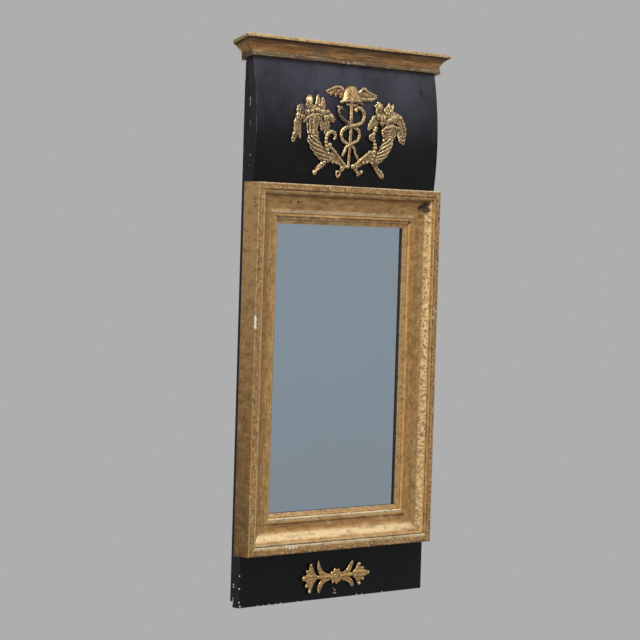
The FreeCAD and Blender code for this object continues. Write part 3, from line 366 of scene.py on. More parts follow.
def cornice_gilding(name, level):
    """The cornice's gilding, laid out by height in its leaning frame."""
    g = Graph(name)
    down, back = g.add(g.z, -FRIEZE_TOP), g.add(g.y, -HEAD_FRONT)
    up = g.add(g.times(back, math.sin(TILT)), g.times(down, math.cos(TILT)))
    wander = g.noise(40, 2)
    up = g.add(up, g.times(g.add(wander, -0.5), 0.7))
    streak = g.noise((70, 1.6, 1.6) if level else (2, 1.6, 40), 4, 0.65)
    # The ramp's dark stops at 0.74 and 0.8, just under the fillet, are painted shadow
    g.colour = g.ramp(g.do("DIVIDE", up, CORNICE_HEIGHT), [
        (0, 46, 34, 24), (0.12, 54, 40, 27), (0.26, 78, 56, 33), (0.34, 158, 108, 56),
        (0.5, 150, 100, 52), (0.66, 122, 80, 42), (0.74, 84, 54, 30), (0.8, 40, 26, 16),
        (0.815, 150, 114, 68), (0.9, 178, 142, 90), (1, 206, 176, 124)])
    grey = g.noise((60, 20, 60), 2, shift=(8, 3, 1))
    g.paint(g.times(g.step(up, 9, 3), g.step(g.add(grey, g.times(g.x, -0.0011)), 0.45, 0.7)),
            (78, 66, 54), 0.6)
    smoky = g.noise((26, 26, 9), 3, 0.65, (2, 6, 3))
    g.paint(g.times(g.band(g.x, -62, 60, 26), g.step(smoky, 0.4, 0.6), g.step(up, 19, 16)),
            (76, 62, 48), 0.6)
    g.paint(g.times(g.step(up, 20.4, 21), g.step(g.x, -20, 170)), (140, 112, 74), 0.45)
    top = g.step(g.facing[2], 0.8, 0.9)
    g.paint(top, (150, 118, 72))
    fine = g.noise((2.2, 1.8, 1.8), 3, 0.75, (5, 1, 3))
    rubbed = g.most(g.band(up, 20.7, 25.8, 0.3), g.band(up, 0, 8.6, 0.6, 0.32), 0.14)
    specks = g.times(g.step(fine, 0.56, 0.62), rubbed, 0.8)
    light = g.times(g.step(fine, 0.46, 0.36), rubbed)
    # Painted shadow: the dark band under the fillet; the thin line lower down is a dark quirk
    dirt_and_shade = g.most(g.band(up, 6.9, 7.4, 0.3, 0.35), g.band(up, 19.6, 20.7, 0.5, 0.85))
    raw = g.step(g.y, -2.2, -1.6)
    chipped = g.times(g.step(g.y, -4.2, -2.4), g.step(g.x, -170, -178), g.step(up, 15.5, 13.5))
    rough_edge = g.noise((6, 3, 3), 3, 0.7, (7, 7, 2))
    chipped = g.times(chipped, g.step(rough_edge, 0.36, 0.44))
    corners = g.spots([
        (-202, -31.5, 90, 1.9), (-201, -33, 86.5, 1.2), (-202, -26, 87, 1.4), (-128, -33, 88, 1.2),
        (-4, -26.2, 62.4, 1.3), (-13, -26, 62.8, 0.9), (-9, -26.8, 66, 1), (3, -26.8, 66.5, 0.9)],
        0.6)
    broken = g.spots([
        (-196, -2, 70, 2), (-193, -2, 66, 2.4), (-190, -2, 61.5, 2.4), (-186.5, -2, 57, 2.4),
        (-182, -2, 53.5, 2.2)], 0.2)
    gesso = g.most(chipped, g.times(corners, 0.8), broken)
    bare = g.times(raw, g.less(g.most(chipped, broken)))
    drawn = (46, 5, 3) if level else (5, 46, 3)
    return worn_gold(g, dirt_and_shade, specks, light, streak, gesso, bare, drawn)


def black_board(name, half_width, front, chips, line):
    """Satin black paint on wood; front gives the depth behind the board's face."""
    g = Graph(name)
    behind = front(g)
    from_end = g.do("SUBTRACT", half_width, g.do("ABSOLUTE", g.x))
    cloud = g.noise((46, 60, 46), 4, 0.6, (3, 3, 3))
    wiped = g.noise((90, 7, 20), 3, 0.6, (1, 6, 2))
    g.colour = g.mix(g.step(cloud, 0.35, 0.7), (9, 9, 11), (15, 15, 18))
    # Painted sheen: the board grows lighter and bluer towards the top, standing in for the sky's
    # reflection
    top_sheen = g.times(g.step(g.z, -70, 60), g.add(0.45, g.step(cloud, 0.3, 0.7, 0.5)))
    g.paint(top_sheen, (70, 69, 80))
    g.paint(g.step(wiped, 0.58, 0.72, 0.22), (38, 38, 45))
    blots = g.dots((24, 30, 24), 0.35, 0.22, 0.16, (3, 6, 2))
    g.paint(blots, (10, 10, 12), 0.5)
    brown = g.noise((14, 22, 14), 4, 0.7, (9, 2, 5))
    g.paint(g.step(brown, 0.66, 0.76, 0.4), (44, 36, 32))
    rubbed = g.noise((5, 26, 5), 4, 0.7, (2, 2, 8))
    arris = g.times(g.step(from_end, 0.9, 0.3), g.step(behind, 0.8, 0.2), g.step(g.z, -70, -35))
    worn = g.times(arris, g.step(rubbed, line, line + 0.12))
    g.paint(worn, (122, 122, 128), 0.6)
    dust = g.dots(17, 0.24, 0.045, 0.02, (1, 4, 6))
    g.paint(dust, (128, 128, 134), 0.7)
    marks = g.spots(chips, 0.45)
    side = g.step(from_end, 0.5, 0.2)
    g.paint(side, (44, 44, 46), 0.7)
    nicks = g.noise((2.4, 3.4, 2.4), 3, 0.7, (4, 8, 1))
    rims = g.most(g.step(behind, 1.6, 0.6), g.band(behind, 9, 13, 1))
    nicked = g.times(side, rims, g.step(nicks, 0.66, 0.72), 0.7)
    g.paint(g.most(marks, nicked), (196, 194, 188))
    bare = g.step(g.facing[1], 0.5, 0.7)
    grain = g.noise((70, 3, 6), 4, 0.65)
    g.paint(bare, g.mix(grain, (96, 70, 46), (150, 114, 76)))
    chalky = g.most(marks, nicked, bare)
    rough = g.add(0.3, g.step(cloud, 0.3, 0.7, 0.1), g.times(wiped, 0.08), g.times(chalky, 0.3))
    height = g.add(g.times(g.noise((8, 60, 8), 4, 0.6), 0.35),
                   g.times(g.noise((0.7, 0.9, 0.7), 2), 0.12), g.times(g.most(marks, nicked), -1))
    return g.finish(roughness=rough, specular_ior_level=0.13, normal=g.bump(height, 0.35, 0.6))


def bow_depth(g):
    """Depth behind the bowed face."""
    centre = (0, BOW_Y, BOW_Z)
    flat = g.vector("MULTIPLY", g.mm, (0, 1, 1))
    return g.do("SUBTRACT", BOW, g.vector("DISTANCE", flat, centre))


def silvered_plate():
    """An old plate: a slightly grey reflection, tired silvering under the frame, and dust."""
    g = Graph("silvered_plate")
    tired = g.step(g.inward(PLATE_HALF_WIDTH, PLATE_HALF_HEIGHT), 6.4, 5.6)
    spots = g.dots(33, 0.3, 0.022, 0.012)
    haze = g.noise((150, 190, 60), 3, 0.5)
    g.colour = g.mix(haze, (153, 167, 177), (157, 171, 181))
    g.paint(g.step(g.z, -330, -600, 0.6), (147, 157, 166))
    g.paint(tired, (70, 72, 70), 0.75)
    g.paint(spots, (60, 62, 62), 0.6)
    silver = g.step(g.facing[1], 0.5, 0)
    g.colour = g.mix(silver, (96, 92, 88), g.colour)
    rough = g.add(0.018, g.step(haze, 0.3, 0.8, 0.012), g.times(tired, 0.25),
                  g.times(g.less(silver), 0.4))
    return g.finish(metallic=1, roughness=rough, coat_weight=0.25, coat_roughness=0.02)


def bare_pine(name, upright, stained_and_shaded=False):
    """Aged pine with its grain along the piece, and black stain on the sides and undersides that
    can be seen, partly painted shade standing in for the wall's shadow.
    """
    g = Graph(name)
    rings = g.noise((7, 160, 5) if upright else (160, 7, 5), 3, 0.6, (2, 3, 1), 0.8)
    fibres = g.noise((0.9, 60, 0.9) if upright else (60, 0.9, 0.9), 3, 0.7)
    g.colour = g.ramp(rings, [
        (0.3, 126, 92, 58), (0.46, 168, 130, 88), (0.52, 134, 96, 60), (0.6, 176, 138, 94),
        (0.72, 140, 102, 66)])
    g.paint(g.step(fibres, 0.45, 0.7, 0.4), (92, 66, 42))
    grime = g.noise(45, 4, 0.65, (5, 5, 5))
    g.paint(g.step(grime, 0.48, 0.72, 0.55), (84, 66, 50))
    worms = g.dots(14, 0.45, 0.06, 0.02, (1, 1, 1))
    g.paint(worms, (30, 20, 12))
    # The dark stain on outer sides and undersides is partly painted shade, standing in for the
    # wall's shadow
    if stained_and_shaded:
        outer = g.most(g.step(g.do("ABSOLUTE", g.facing[0]), 0.5, 0.7),
                       g.step(g.facing[2], -0.5, -0.7))
        thin = g.step(grime, 0.55, 0.7, 0.35)
        g.paint(g.times(outer, g.less(thin)), (30, 29, 30))
    height = g.add(g.times(fibres, 0.6), g.times(rings, 0.4), g.times(worms, -1))
    return g.finish(roughness=g.add(0.62, g.times(fibres, 0.2)), specular_ior_level=0.3,
                    normal=g.bump(height, 0.4, 0.6))


def forged_iron():
    """Dark iron with a little rust."""
    g = Graph("forged_iron")
    rust = g.noise(3.5, 4, 0.7)
    rusted = g.step(rust, 0.46, 0.66)
    g.colour = g.mix(rusted, (62, 58, 55), (98, 62, 40))
    metal = g.less(g.times(rusted, 0.8))
    return g.finish(metallic=metal, roughness=g.add(0.35, g.times(rust, 0.4)),
                    normal=g.bump(rust, 0.3, 0.5))


def relief_gold(name, warmth=0):
    """Gilt casting: painted highlights on its ridges, painted shade and bronze brown in its
    hollows.
    """
    g = Graph(name)
    ridge = g.node("NewGeometry").outputs["Pointiness"]
    ridge = g.add(ridge, g.times(g.add(g.noise(4.4, 3, 0.7), -0.5), 0.09))
    # The ramp along pointiness lays pale painted highlights on the ridges and painted shade in the
    # hollows
    g.colour = g.ramp(ridge, [
        (0.42, 30, 20, 12), (0.468, 74, 50, 30), (0.498, 158, 126, 82), (0.53, 236, 212, 162),
        (0.58, 255, 248, 224)])
    hidden = g.node("AmbientOcclusion", {"Distance": 5 * MM}, only_local=True, samples=8)
    shade = g.step(hidden.outputs["AO"], 0.96, 0.55)
    g.paint(shade, (44, 28, 16), 0.85)
    tarnish = g.spots([
        (-18, -36, -2, 8), (-22, -36, -9, 8), (-18, -36, -17, 8), (-97, -35, -8, 8),
        (-13, -36, -24, 6)], 0.5)
    g.paint(tarnish, (70, 68, 76), 0.8)
    rusty = g.spots([
        (-29, -35, 20, 7.5), (-20, -35, 18, 7), (-38, -35, 19, 6), (26, -35, 19, 7),
        (-1, -27, -92, 8), (48, -30, -80, 8), (-1, -32, -66, 6), (36, -34, -50, 7)], 0.6)
    g.paint(rusty, (112, 70, 58), 0.7)
    patches = g.noise(13, 4, 0.65, (1, 2, 2))
    g.paint(g.step(patches, 0.52, 0.7, 0.45), (138, 88, 54))
    pits = g.dots(4.4, 0.45, 0.13, 0.05)
    g.paint(warmth, (206, 146, 72))
    g.paint(pits, (56, 38, 24), 0.6)
    grain = g.noise(1.2, 3, 0.6)
    hollow = g.step(ridge, 0.495, 0.43)
    rough = g.add(0.2, g.times(hollow, 0.35), g.times(grain, 0.1))
    metal = g.less(g.times(g.most(hollow, pits, shade), 0.6))
    return g.finish(metallic=metal, roughness=rough,
                    normal=g.bump(g.add(g.times(grain, 0.5), g.times(pits, -1)), 0.4, 0.6))


# Relief castings: rods, leaves and fruit drawn on the faces, melted into one skin


def frieze_point(x, height, lift):
    """A point over the bowed face; x is where it is seen from the front left."""
    z = FRAME_TOP + height + UP - UP_LOSS * (height - LOSS_FROM)
    lift *= LIFT_SHARE
    along = SHIFT - LEAN * height + NARROWED * x
    y = bow_front(z) - lift
    if y < RELIEF_FRONT:
        y = RELIEF_FRONT + PRESSED * (y - RELIEF_FRONT)
    return Vector((along - SIDEWAYS * lift, y, z)) * MM


def apron_point(x, height, lift):
    """A point over the apron's face, in the same way; height is up from the frame's edge."""
    return Vector((x - SIDEWAYS * lift, APRON_FRONT - lift, FRAME_BOTTOM + height)) * MM


def smooth_rows(rows, steps):
    """More rows along a smooth line through the given ones."""
    last = len(rows) - 1
    made = []
    for number in range(last):
        around = [rows[max(0, min(last, number + shift))] for shift in (-1, 0, 1, 2)]
        for part in range(steps):
            t = part / steps
            row = []
            for a, b, c, d in zip(*around):
                row.append(0.5 * (2 * b + (c - a) * t + (2 * a - 5 * b + 4 * c - d) * t**2
                                  + (3 * b - a - 3 * c + d) * t**3))
            made.append(row)
    made.append(list(rows[-1]))
    return made


def tube(mesh, rings):
    """Faces from each ring of points to the next; gives back the rings' vertices."""
    rows = [[mesh.verts.new(point) for point in ring] for ring in rings]
    for low, high in zip(rows, rows[1:]):
        for number in range(len(low)):
            after = (number + 1) % len(low)
            mesh.faces.new((low[number], low[after], high[after], high[number]))
    return rows


def linked(name, data):
    """A new object in the scene."""
    made = bpy.data.objects.new(name, data)
    bpy.context.scene.collection.objects.link(made)
    return made


def placed(name, mesh, material):
    """Turns a finished mesh into an object of one material."""
    data = bpy.data.meshes.new(name)
    bmesh.ops.recalc_face_normals(mesh, faces=mesh.faces)
    mesh.to_mesh(data)
    mesh.free()
    data.materials.append(material)
    return linked(name, data)


class Relief:
    """The pieces of one casting over one face."""

    def __init__(self, point):
        self.point = point
        self.mesh = bmesh.new()

    def skin(self, rings, tips):
        """Closes a tube through rings of points, with a tip point at each end."""
        rows = tube(self.mesh, rings)
        for row, tip, turned in ((rows[0], tips[0], True), (rows[-1], tips[1], False)):
            end = self.mesh.verts.new(tip)
            for number in range(len(row)):
                pair = (row[number], row[(number + 1) % len(row)])
                self.mesh.faces.new((*(reversed(pair) if turned else pair), end))

    def rod(self, rows, flat=1, ribs=(0, 0), flutes=(0, 0), twist=0, groove=0, lobes=(0, 0),
            steps=5, sides=14, tip=0.7):
        """A tapered rod; each row is x, height, lift and radius. Flat squashes it to the face;
        ribs, flutes and lobes are a number and a depth."""
        rows = smooth_rows(rows, steps)
        points = [self.point(*row[:3]) for row in rows]
        rings = []
        for number, (point, row) in enumerate(zip(points, rows)):
            before, after = points[max(0, number - 1)], points[min(len(rows) - 1, number + 1)]
            tangent = (after - before).normalized()
            outward = Vector((0, -1, 0))
            outward = (outward - tangent * outward.dot(tangent)).normalized()
            across = tangent.cross(outward)
            share = number / (len(rows) - 1)
            radius = max(row[3], 0.35) * MM
            radius *= 1 + ribs[1] * math.cos(2 * math.pi * ribs[0] * share)
            ring = []
            for side in range(sides):
                turn = 2 * math.pi * side / sides
                bulge = 1 + flutes[1] * math.cos(flutes[0] * turn + twist * share)
                wide = 1 + lobes[1] * abs(math.sin(math.pi * lobes[0] * share)) - lobes[1] / 2
                dent = 1 - groove * math.exp(-(math.cos(turn) / 0.35) ** 2)
                ring.append(point + across * math.cos(turn) * radius * bulge * wide
                            + outward * math.sin(turn) * radius * bulge * flat * dent)
            rings.append(ring)
        first = points[0] - (points[1] - points[0]).normalized() * rows[0][3] * MM * tip
        last = points[-1] + (points[-1] - points[-2]).normalized() * rows[-1][3] * MM * tip
        self.skin(rings, (first, last))

    def ball(self, x, height, lift, radius, tall=1, deep=1, lean=0, lobes=(0, 0)):
        """A round fruit or knob, if wanted taller, flatter, leaning or lobed."""
        centre = self.point(x, height, lift)
        spin = Matrix.Rotation(math.radians(lean), 3, "Y")
        rings = []
        for level in range(1, 9):
            tilt = math.pi * level / 9
            ring = []
            for side in range(16):
                turn = 2 * math.pi * side / 16
                reach = math.sin(tilt) * (1 + lobes[1] * math.cos(lobes[0] * turn))
                spot = Vector((math.cos(turn) * reach, math.sin(turn) * reach * deep,
                               -math.cos(tilt) * tall))
                ring.append(centre + spin @ (spot * radius * MM))
            rings.append(ring)
        self.skin(rings, [centre + spin @ Vector((0, 0, way * tall * radius * MM))
                          for way in (-1, 1)])

    def balls(self, rows, **form):
        """Balls of one form; each row is x, height, lift and radius."""
        for row in rows:
            self.ball(*row, **form)

    def leaf(self, rows, veins=5, depth=0.3):
        """A flat leaf with a sunk midrib and a scalloped edge."""
        self.rod(rows, flat=0.42, groove=0.45, lobes=(veins, depth), steps=8, sides=18)

    def flower(self, x, height, lift, radius, petals, hollow=True, spin=0):
        """A flat flower of rounded petals round a button or a hole."""
        for number in range(petals):
            turn = 2 * math.pi * (number + spin) / petals
            side, up = math.cos(turn), math.sin(turn)
            self.rod([(x + side * radius * reach, height + up * radius * reach, lift + rise,
                       radius * share) for reach, rise, share in
                      ((0.34, 0.2, 0.2), (0.6, 0.9, 0.4), (0.8, 0.2, 0.28))],
                     flat=0.62, groove=0.5, steps=4)
        if hollow:
            self.ring(x, height, lift + 1.5, radius * 0.3, radius * 0.13, tip=0.7)
        else:
            self.ball(x, height, lift + 1.2, radius * 0.27)
        self.ball(x, height, lift - 0.8, radius * 0.62, deep=0.8)

    def bud(self, x, height, lift, top_x, top_height, radius):
        """A pointed bud in its husk."""
        self.rod([(x, height, lift, radius * 0.75),
                  ((x + top_x) / 2, (height + top_height) / 2, lift + 1.2, radius),
                  (x * 0.15 + top_x * 0.85, height * 0.15 + top_height * 0.85, lift + 1,
                   radius * 0.62), (top_x, top_height, lift + 0.6, radius * 0.2)],
                 flutes=(4, 0.14), twist=0.8, steps=5)

    def hoop(self, left, right, radius, bulge):
        """A raised band across a horn, from its left side over its front to its right side."""
        rows = []
        for part in range(9):
            t = part / 8
            swell = math.sin(math.pi * t)
            rows.append((left[0] + (right[0] - left[0]) * t + SIDEWAYS * bulge * swell * 0.6,
                         left[1] + (right[1] - left[1]) * t + 0.6 * swell,
                         1.5 + bulge * swell, radius))
        self.rod(rows, steps=4)

    def ring(self, x, height, lift, radius, bar, tip=0.1):
        """A small open ring that lies on the face."""
        turns = [2 * math.pi * part / 8 for part in range(9)]
        self.rod([(x + radius * math.cos(t), height + radius * math.sin(t), lift, bar)
                  for t in turns], steps=3, sides=8, tip=tip)

    def piece(self, name, material, node, lumps):
        """Turns the pieces into one casting that stands for its node; lumps are millimetres."""
        made = placed(name, self.mesh, material)
        melt = made.modifiers.new("melt", "REMESH")
        melt.mode = "VOXEL"
        melt.voxel_size = FINE_VOXEL * MM
        melt.use_smooth_shade = True
        soften = made.modifiers.new("soften", "SMOOTH")
        soften.factor = 0.5
        soften.iterations = 1
        for size_mm, share in ((3.4, 0.6), (1.7, 0.4)):
            clouds = bpy.data.textures.new(f"{name}_{share}", "CLOUDS")
            clouds.noise_scale = size_mm * MM
            clouds.noise_depth = 1
            worn = made.modifiers.new("worn", "DISPLACE")
            worn.texture = clouds
            worn.texture_coords = "LOCAL"
            worn.strength = lumps * share * MM * 2
            worn.mid_level = 0.5
        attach(made, "mirror")
        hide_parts(node)


random.seed(7)
gold = relief_gold("relief_gold")
pine_stained_and_shaded = bare_pine("pine_stained_and_shaded", True, True)

# Caduceus

staff = Relief(frieze_point)
staff.rod([
    (-2.5, 121, 2.6, 3.4), (-4, 100, 2.6, 3.2), (-5.5, 75, 2.4, 2.8), (-7, 50, 2.2, 2.6),
    (-8, 26, 2, 2.6)])
staff.rod([
    (4, 110, 5.6, 2.4), (10, 113.5, 5.6, 2.8), (17, 112, 5, 3.1), (22, 106, 4, 3.2),
    (21.5, 98, 3.5, 3.2), (14, 90.5, 4.5, 3.2), (2, 87, 6.6, 3.2), (-11, 84.5, 5, 3.1),
    (-20.5, 80, 3, 3), (-24.5, 73, 2.4, 2.9), (-22, 65, 2.4, 2.7), (-13, 60, 2.6, 2.6),
    (-3, 57, 4, 2.5), (3, 52, 2.8, 2.4), (4.5, 46, 2.4, 2.2), (9, 41, 2.2, 2.2),
    (11, 36, 1.6, 1.3)], ribs=(26, 0.04), steps=8)
staff.ball(5.5, 109.5, 6, 3.9, tall=0.8, lean=70)
staff.rod([
    (-23, 112, 4.4, 3.2), (-27.5, 107.5, 4, 3), (-26.5, 100, 3.4, 3.1), (-18, 93.5, 3, 3.2),
    (-6, 87.5, 3.2, 3.2), (4, 83.5, 4, 3.1), (11, 79, 3.4, 2.9), (12, 72, 3, 2.8),
    (8, 65, 3.6, 2.7), (-3, 60, 5.2, 2.8), (-13, 54.5, 3, 3), (-17.5, 48, 2.4, 3),
    (-20.5, 41, 1.8, 1.6)], ribs=(24, 0.04), steps=8)
staff.ball(-23.5, 110.5, 4.6, 4.6, tall=0.75, deep=0.75, lean=25)
staff.ball(-29, 112.5, 4, 2.6)
staff.ball(-2.5, 121, 3.2, 4.2, tall=0.6)
staff.piece("caduceus_relief", gold, "caduceus", 0.5)

# Helmet with its wings

cap = Relief(frieze_point)
cap.rod([
    (-1.5, 121.5, 1.4, 22), (-1.5, 125.5, 1.4, 20.2), (-1.5, 130.5, 1.4, 17.8),
    (-1.2, 136, 1.4, 15.4), (-1, 140.6, 1.4, 12.4), (-1, 144.2, 1.4, 8.4), (-1, 146, 1.4, 4.2)],
    flat=0.44, steps=5, sides=48, tip=0.1)
cap.rod([
    (-24.5, 119.2, 1, 2), (-19, 121.2, 4.4, 2.6), (-11, 123, 7.6, 2.7), (-1, 123.6, 8.8, 2.7),
    (9, 123, 7.8, 2.7), (16.5, 121.2, 4.8, 2.6), (21.5, 118.8, 1, 2)], flat=0.8, steps=8)
cap.rod([(-12, 118, 1.6, 2.4), (-1, 117, 2.4, 3), (10, 118, 1.6, 2.4)], steps=5)
cap.rod([
    (-15, 135.5, 2.6, 2.4), (-20, 140.8, 3.6, 2.6), (-27, 142, 3.8, 2.4), (-38, 139.4, 3.4, 2.3),
    (-51, 134.2, 2.2, 1.7)], flat=0.8, steps=8)
cap.rod([
    (-15, 132, 2, 4.4), (-25, 134.5, 1.8, 5), (-34, 134.5, 1.6, 4.4), (-42, 133.5, 1.4, 3.4),
    (-49, 132.6, 1.2, 2)], flat=0.42, steps=6)
for feather in range(3):
    root_x = -20 - 10 * feather
    cap.rod([(root_x, 134.5, 1.8, 2.2), (root_x - 1.6, 130.5 + 0.6 * feather, 2.6, 3),
             (root_x - 3.6, 126.5 + 1.2 * feather, 1.6, 2.2)], flat=0.8, steps=5)
cap.rod([
    (15, 130, 2.6, 2.8), (18.5, 138, 3.8, 2.9), (25.5, 142.6, 4.4, 2.9), (32, 139.6, 4, 2.4),
    (41, 136, 3, 2), (52, 133.8, 1.8, 1.2)], flat=0.8, steps=8)
cap.rod([(20, 127.5, 2.4, 2.4), (30, 127, 2.8, 2.8), (41, 128, 2.6, 2.6), (50.5, 131, 1.8, 1.4)],
        flat=0.7, steps=6)
cap.rod([(18, 133, 2, 4.2), (29, 134, 1.8, 4.6), (40, 132.5, 1.4, 3.2)], flat=0.45, steps=6)
for feather in range(3):
    cap.rod([(27 + 7 * feather, 137 - feather, 2.4, 1.3), (31 + 7 * feather, 132.5, 2.6, 1.6),
             (33.5 + 7 * feather, 128.5 + feather, 2.4, 1.3)], steps=4)
cap.piece("helmet_relief", gold, "winged_helmet", 0.3)

# Left horn of plenty

left = Relief(frieze_point)
left.rod([(-80.5, 95, 1.6, 13.6), (-81.5, 88, 1.6, 11.2), (-82, 79, 1.8, 9.2), (-82, 70, 2, 8.8)],
         flat=0.62, flutes=(9, 0.09), steps=6, sides=56)
left.rod([
    (-81.5, 68, 2, 9), (-79.5, 61, 2, 8.8), (-74, 53, 2, 8.6), (-66, 45.5, 2, 8.2),
    (-57.5, 38.5, 2, 7), (-49, 33, 1.6, 5.2)], flat=0.74, flutes=(8, 0.13), twist=-32, steps=14,
    sides=64)
left.rod([
    (-99, 86.5, 2, 1.8), (-92.5, 92, 6, 2.2), (-83, 96.6, 9.4, 2.3), (-72, 98.6, 9.6, 2.3),
    (-63, 98.2, 7, 2)], steps=8)
left.hoop((-91, 71.2), (-70.5, 72.2), 2.1, 5.6)
left.hoop((-90, 66.4), (-70, 67.4), 1.7, 5.6)
left.rod([
    (-50, 38, 2.2, 4.2), (-52, 48, 2.6, 3.6), (-54.5, 58, 2.8, 3.2), (-54, 67, 3, 3),
    (-48.5, 74, 3.2, 3), (-41, 75, 3.2, 2.9), (-36, 70.5, 3, 2.7), (-38.5, 64.5, 2.6, 2.2)],
    ribs=(13, 0.16), steps=8)
left.ball(-47.5, 55.5, 4.2, 4)
left.rod([
    (-49, 53, 3.4, 2.8), (-42, 50.5, 3.6, 2.7), (-33, 43.5, 3.6, 2.5), (-23, 34.5, 3.2, 2.3),
    (-13, 26.5, 2.6, 2.2)], steps=7)
left.rod([
    (-54, 37.5, 2, 6.6), (-45, 39.5, 2.2, 7), (-36, 36, 2.2, 5.4), (-27, 31, 2, 4),
    (-18, 27.5, 1.8, 2.8)], flat=0.5, groove=0.3, lobes=(4, 0.35), steps=8, sides=18)
left.balls([
    (-52, 33, 4.2, 3.2), (-45, 35, 4.2, 3), (-39, 31.5, 4.2, 2.6), (-49, 43.5, 4.2, 3),
    (-32, 30.5, 4.2, 2.2), (-40, 41, 4.2, 2.2)])
left.rod([(-50, 34.5, 2, 4.8), (-57, 30, 2.2, 4), (-65, 23.5, 2.2, 3.6), (-72.5, 16.6, 2, 3.2)],
         ribs=(6, 0.16), flutes=(3, 0.12), twist=9, steps=8)
left.ball(-74.5, 14.6, 2.6, 3.9)
left.rod([(-15, 27.5, 2.2, 3), (-18.5, 22.5, 2, 3), (-21.5, 18.5, 2.2, 2.2)], steps=6)
left.ring(-19.5, 22.5, 4, 2.6, 1.5)
left.ring(-27, 14.8, 2, 3.6, 1.7)
left.ball(-27.5, 10.6, 2.2, 2.3)
left.balls([
    (-87, 98, 1.2, 12.5), (-68, 99, 1.2, 12.5), (-54, 97, 1.2, 9), (-99, 98, 1.2, 9),
    (-63, 107, 1.2, 8)], deep=0.4)
left.flower(-103, 103, 3.4, 10.8, petals=6, spin=0.2)
left.flower(-80, 105, 5, 9.6, petals=5, spin=0.6)
left.flower(-61.5, 102.5, 4.8, 9, petals=5, spin=0.1, hollow=False)
left.balls([
    (-93, 101, 5.2, 5.4), (-71.5, 105, 6.4, 5.2), (-56, 95, 5, 5.4), (-66, 111, 3.8, 5),
    (-92, 109.5, 3.8, 5), (-47, 97, 3.2, 5.6), (-82.5, 102.5, 6.8, 3.8), (-64, 103.5, 6.4, 3.8),
    (-101, 94, 3.6, 4.4), (-52, 103.5, 3.6, 4.2), (-110, 96, 2.8, 4.2)], lobes=(5, 0.12))
left.bud(-87.5, 108, 2.8, -85.5, 127, 5.8)
left.rod([(-88, 108, 2.2, 4), (-87, 114, 2.4, 3.2)], steps=4)
left.leaf([(-69, 107, 3, 6), (-69, 115, 3.2, 5.2), (-68.5, 122, 2.8, 3.6), (-68.5, 128, 2, 1.4)],
          veins=2, depth=0.1)
left.leaf([(-61, 106, 3, 6), (-59.5, 113, 3.2, 5.2), (-58.5, 119, 2.8, 3.6), (-59, 124.5, 2, 1.4)],
          veins=2, depth=0.1)
left.rod([(-50, 99, 3, 4.4), (-43, 94.5, 2.8, 5.4), (-38, 90.5, 2, 3)], flat=0.7, groove=0.4,
         steps=6)
left.leaf([(-58, 93, 4.2, 4.4), (-53.5, 86.5, 3.6, 6), (-53.5, 79, 2.6, 4.8),
           (-57.5, 72, 1.6, 1.6)], veins=5, depth=0.4)
left.leaf([(-66, 90, 4.6, 3), (-62.5, 83, 3.6, 4.4), (-63, 76, 2.4, 1.8)], veins=3)
left.leaf([
    (-104, 97, 2.8, 5), (-110.5, 89, 2.6, 5.2), (-113, 80, 2.2, 4.4), (-114, 71, 2, 4),
    (-117.5, 63, 1.8, 3.6), (-119.5, 57.5, 1.6, 2.6)], veins=5)
left.ball(-110, 92.5, 3.4, 3.4)
left.leaf([(-104, 90, 2.4, 3), (-107, 80, 2, 3.2), (-106.5, 70, 1.6, 2.8), (-105, 62.5, 1.2, 1.2)],
          veins=4)
left.piece("left_horn_relief", gold, "cornucopia_left", 0.6)

# Right horn of plenty

right = Relief(frieze_point)
right.rod([(75, 90, 1.6, 15), (74, 85, 1.6, 13.2), (73, 79, 1.8, 11), (72, 73, 2, 9.4)], flat=0.55,
          flutes=(7, 0.08), twist=5, steps=6, sides=56)
right.rod([
    (71.5, 71, 2, 9), (70, 63, 2, 8.8), (65.5, 54.5, 2, 8.4), (59, 46, 2, 7.6), (51, 39, 2, 6.6),
    (43, 33, 1.6, 5)], flat=0.74, flutes=(8, 0.13), twist=32, steps=14, sides=64)
right.rod([
    (58, 80, 2.4, 1.9), (64, 85, 6.4, 2.3), (73, 88, 9.4, 2.4), (83, 88.8, 9.4, 2.4),
    (93, 88, 6.8, 2.2), (100, 86, 3.4, 1.9)], steps=8)
right.hoop((61, 73.5), (84, 73), 2.2, 6)
right.hoop((61, 68.6), (81.5, 68.2), 1.8, 6)
for curl in ((67.5, 83.5, 7.4), (78.5, 83, 7.2), (73, 77.5, 6.6), (85, 78.5, 4.6),
             (63.5, 77.5, 4.8)):
    right.ring(*curl, 2.9, 1.5)
right.rod([
    (39, 38, 2.2, 4.4), (42.5, 47, 2.6, 3.8), (44.5, 56, 2.8, 3.6), (43.5, 64, 3, 3.2),
    (40.5, 71, 3, 3), (42.5, 79, 3, 3), (47, 86.5, 3.4, 3.4)], ribs=(9, 0.14), steps=8)
right.ring(37.5, 71.5, 4.6, 3.6, 1.9)
right.ball(36.5, 71.5, 3.2, 3.6)
right.rod([
    (44, 47, 3.2, 2.6), (36, 48.5, 3.8, 2.7), (27, 44, 3.8, 2.6), (17, 37, 3.4, 2.5),
    (7, 29.5, 2.8, 2.4), (-2, 26.5, 2.4, 2.2)], steps=7)
right.ring(35.5, 46.5, 4.8, 3.8, 2)
right.rod([
    (48, 36.5, 2, 6.6), (38, 40, 2.2, 6.4), (29, 38, 2.2, 5), (19, 32.5, 2, 3.8),
    (9, 27.5, 1.8, 2.8)], flat=0.5, groove=0.3, lobes=(4, 0.35), steps=8, sides=18)
right.balls([
    (47, 35, 4.2, 3.4), (40.5, 33.5, 4.2, 3), (30, 34.5, 4.2, 2.6), (22, 33.5, 4.2, 2.4),
    (51, 41.5, 4.2, 2.8)])
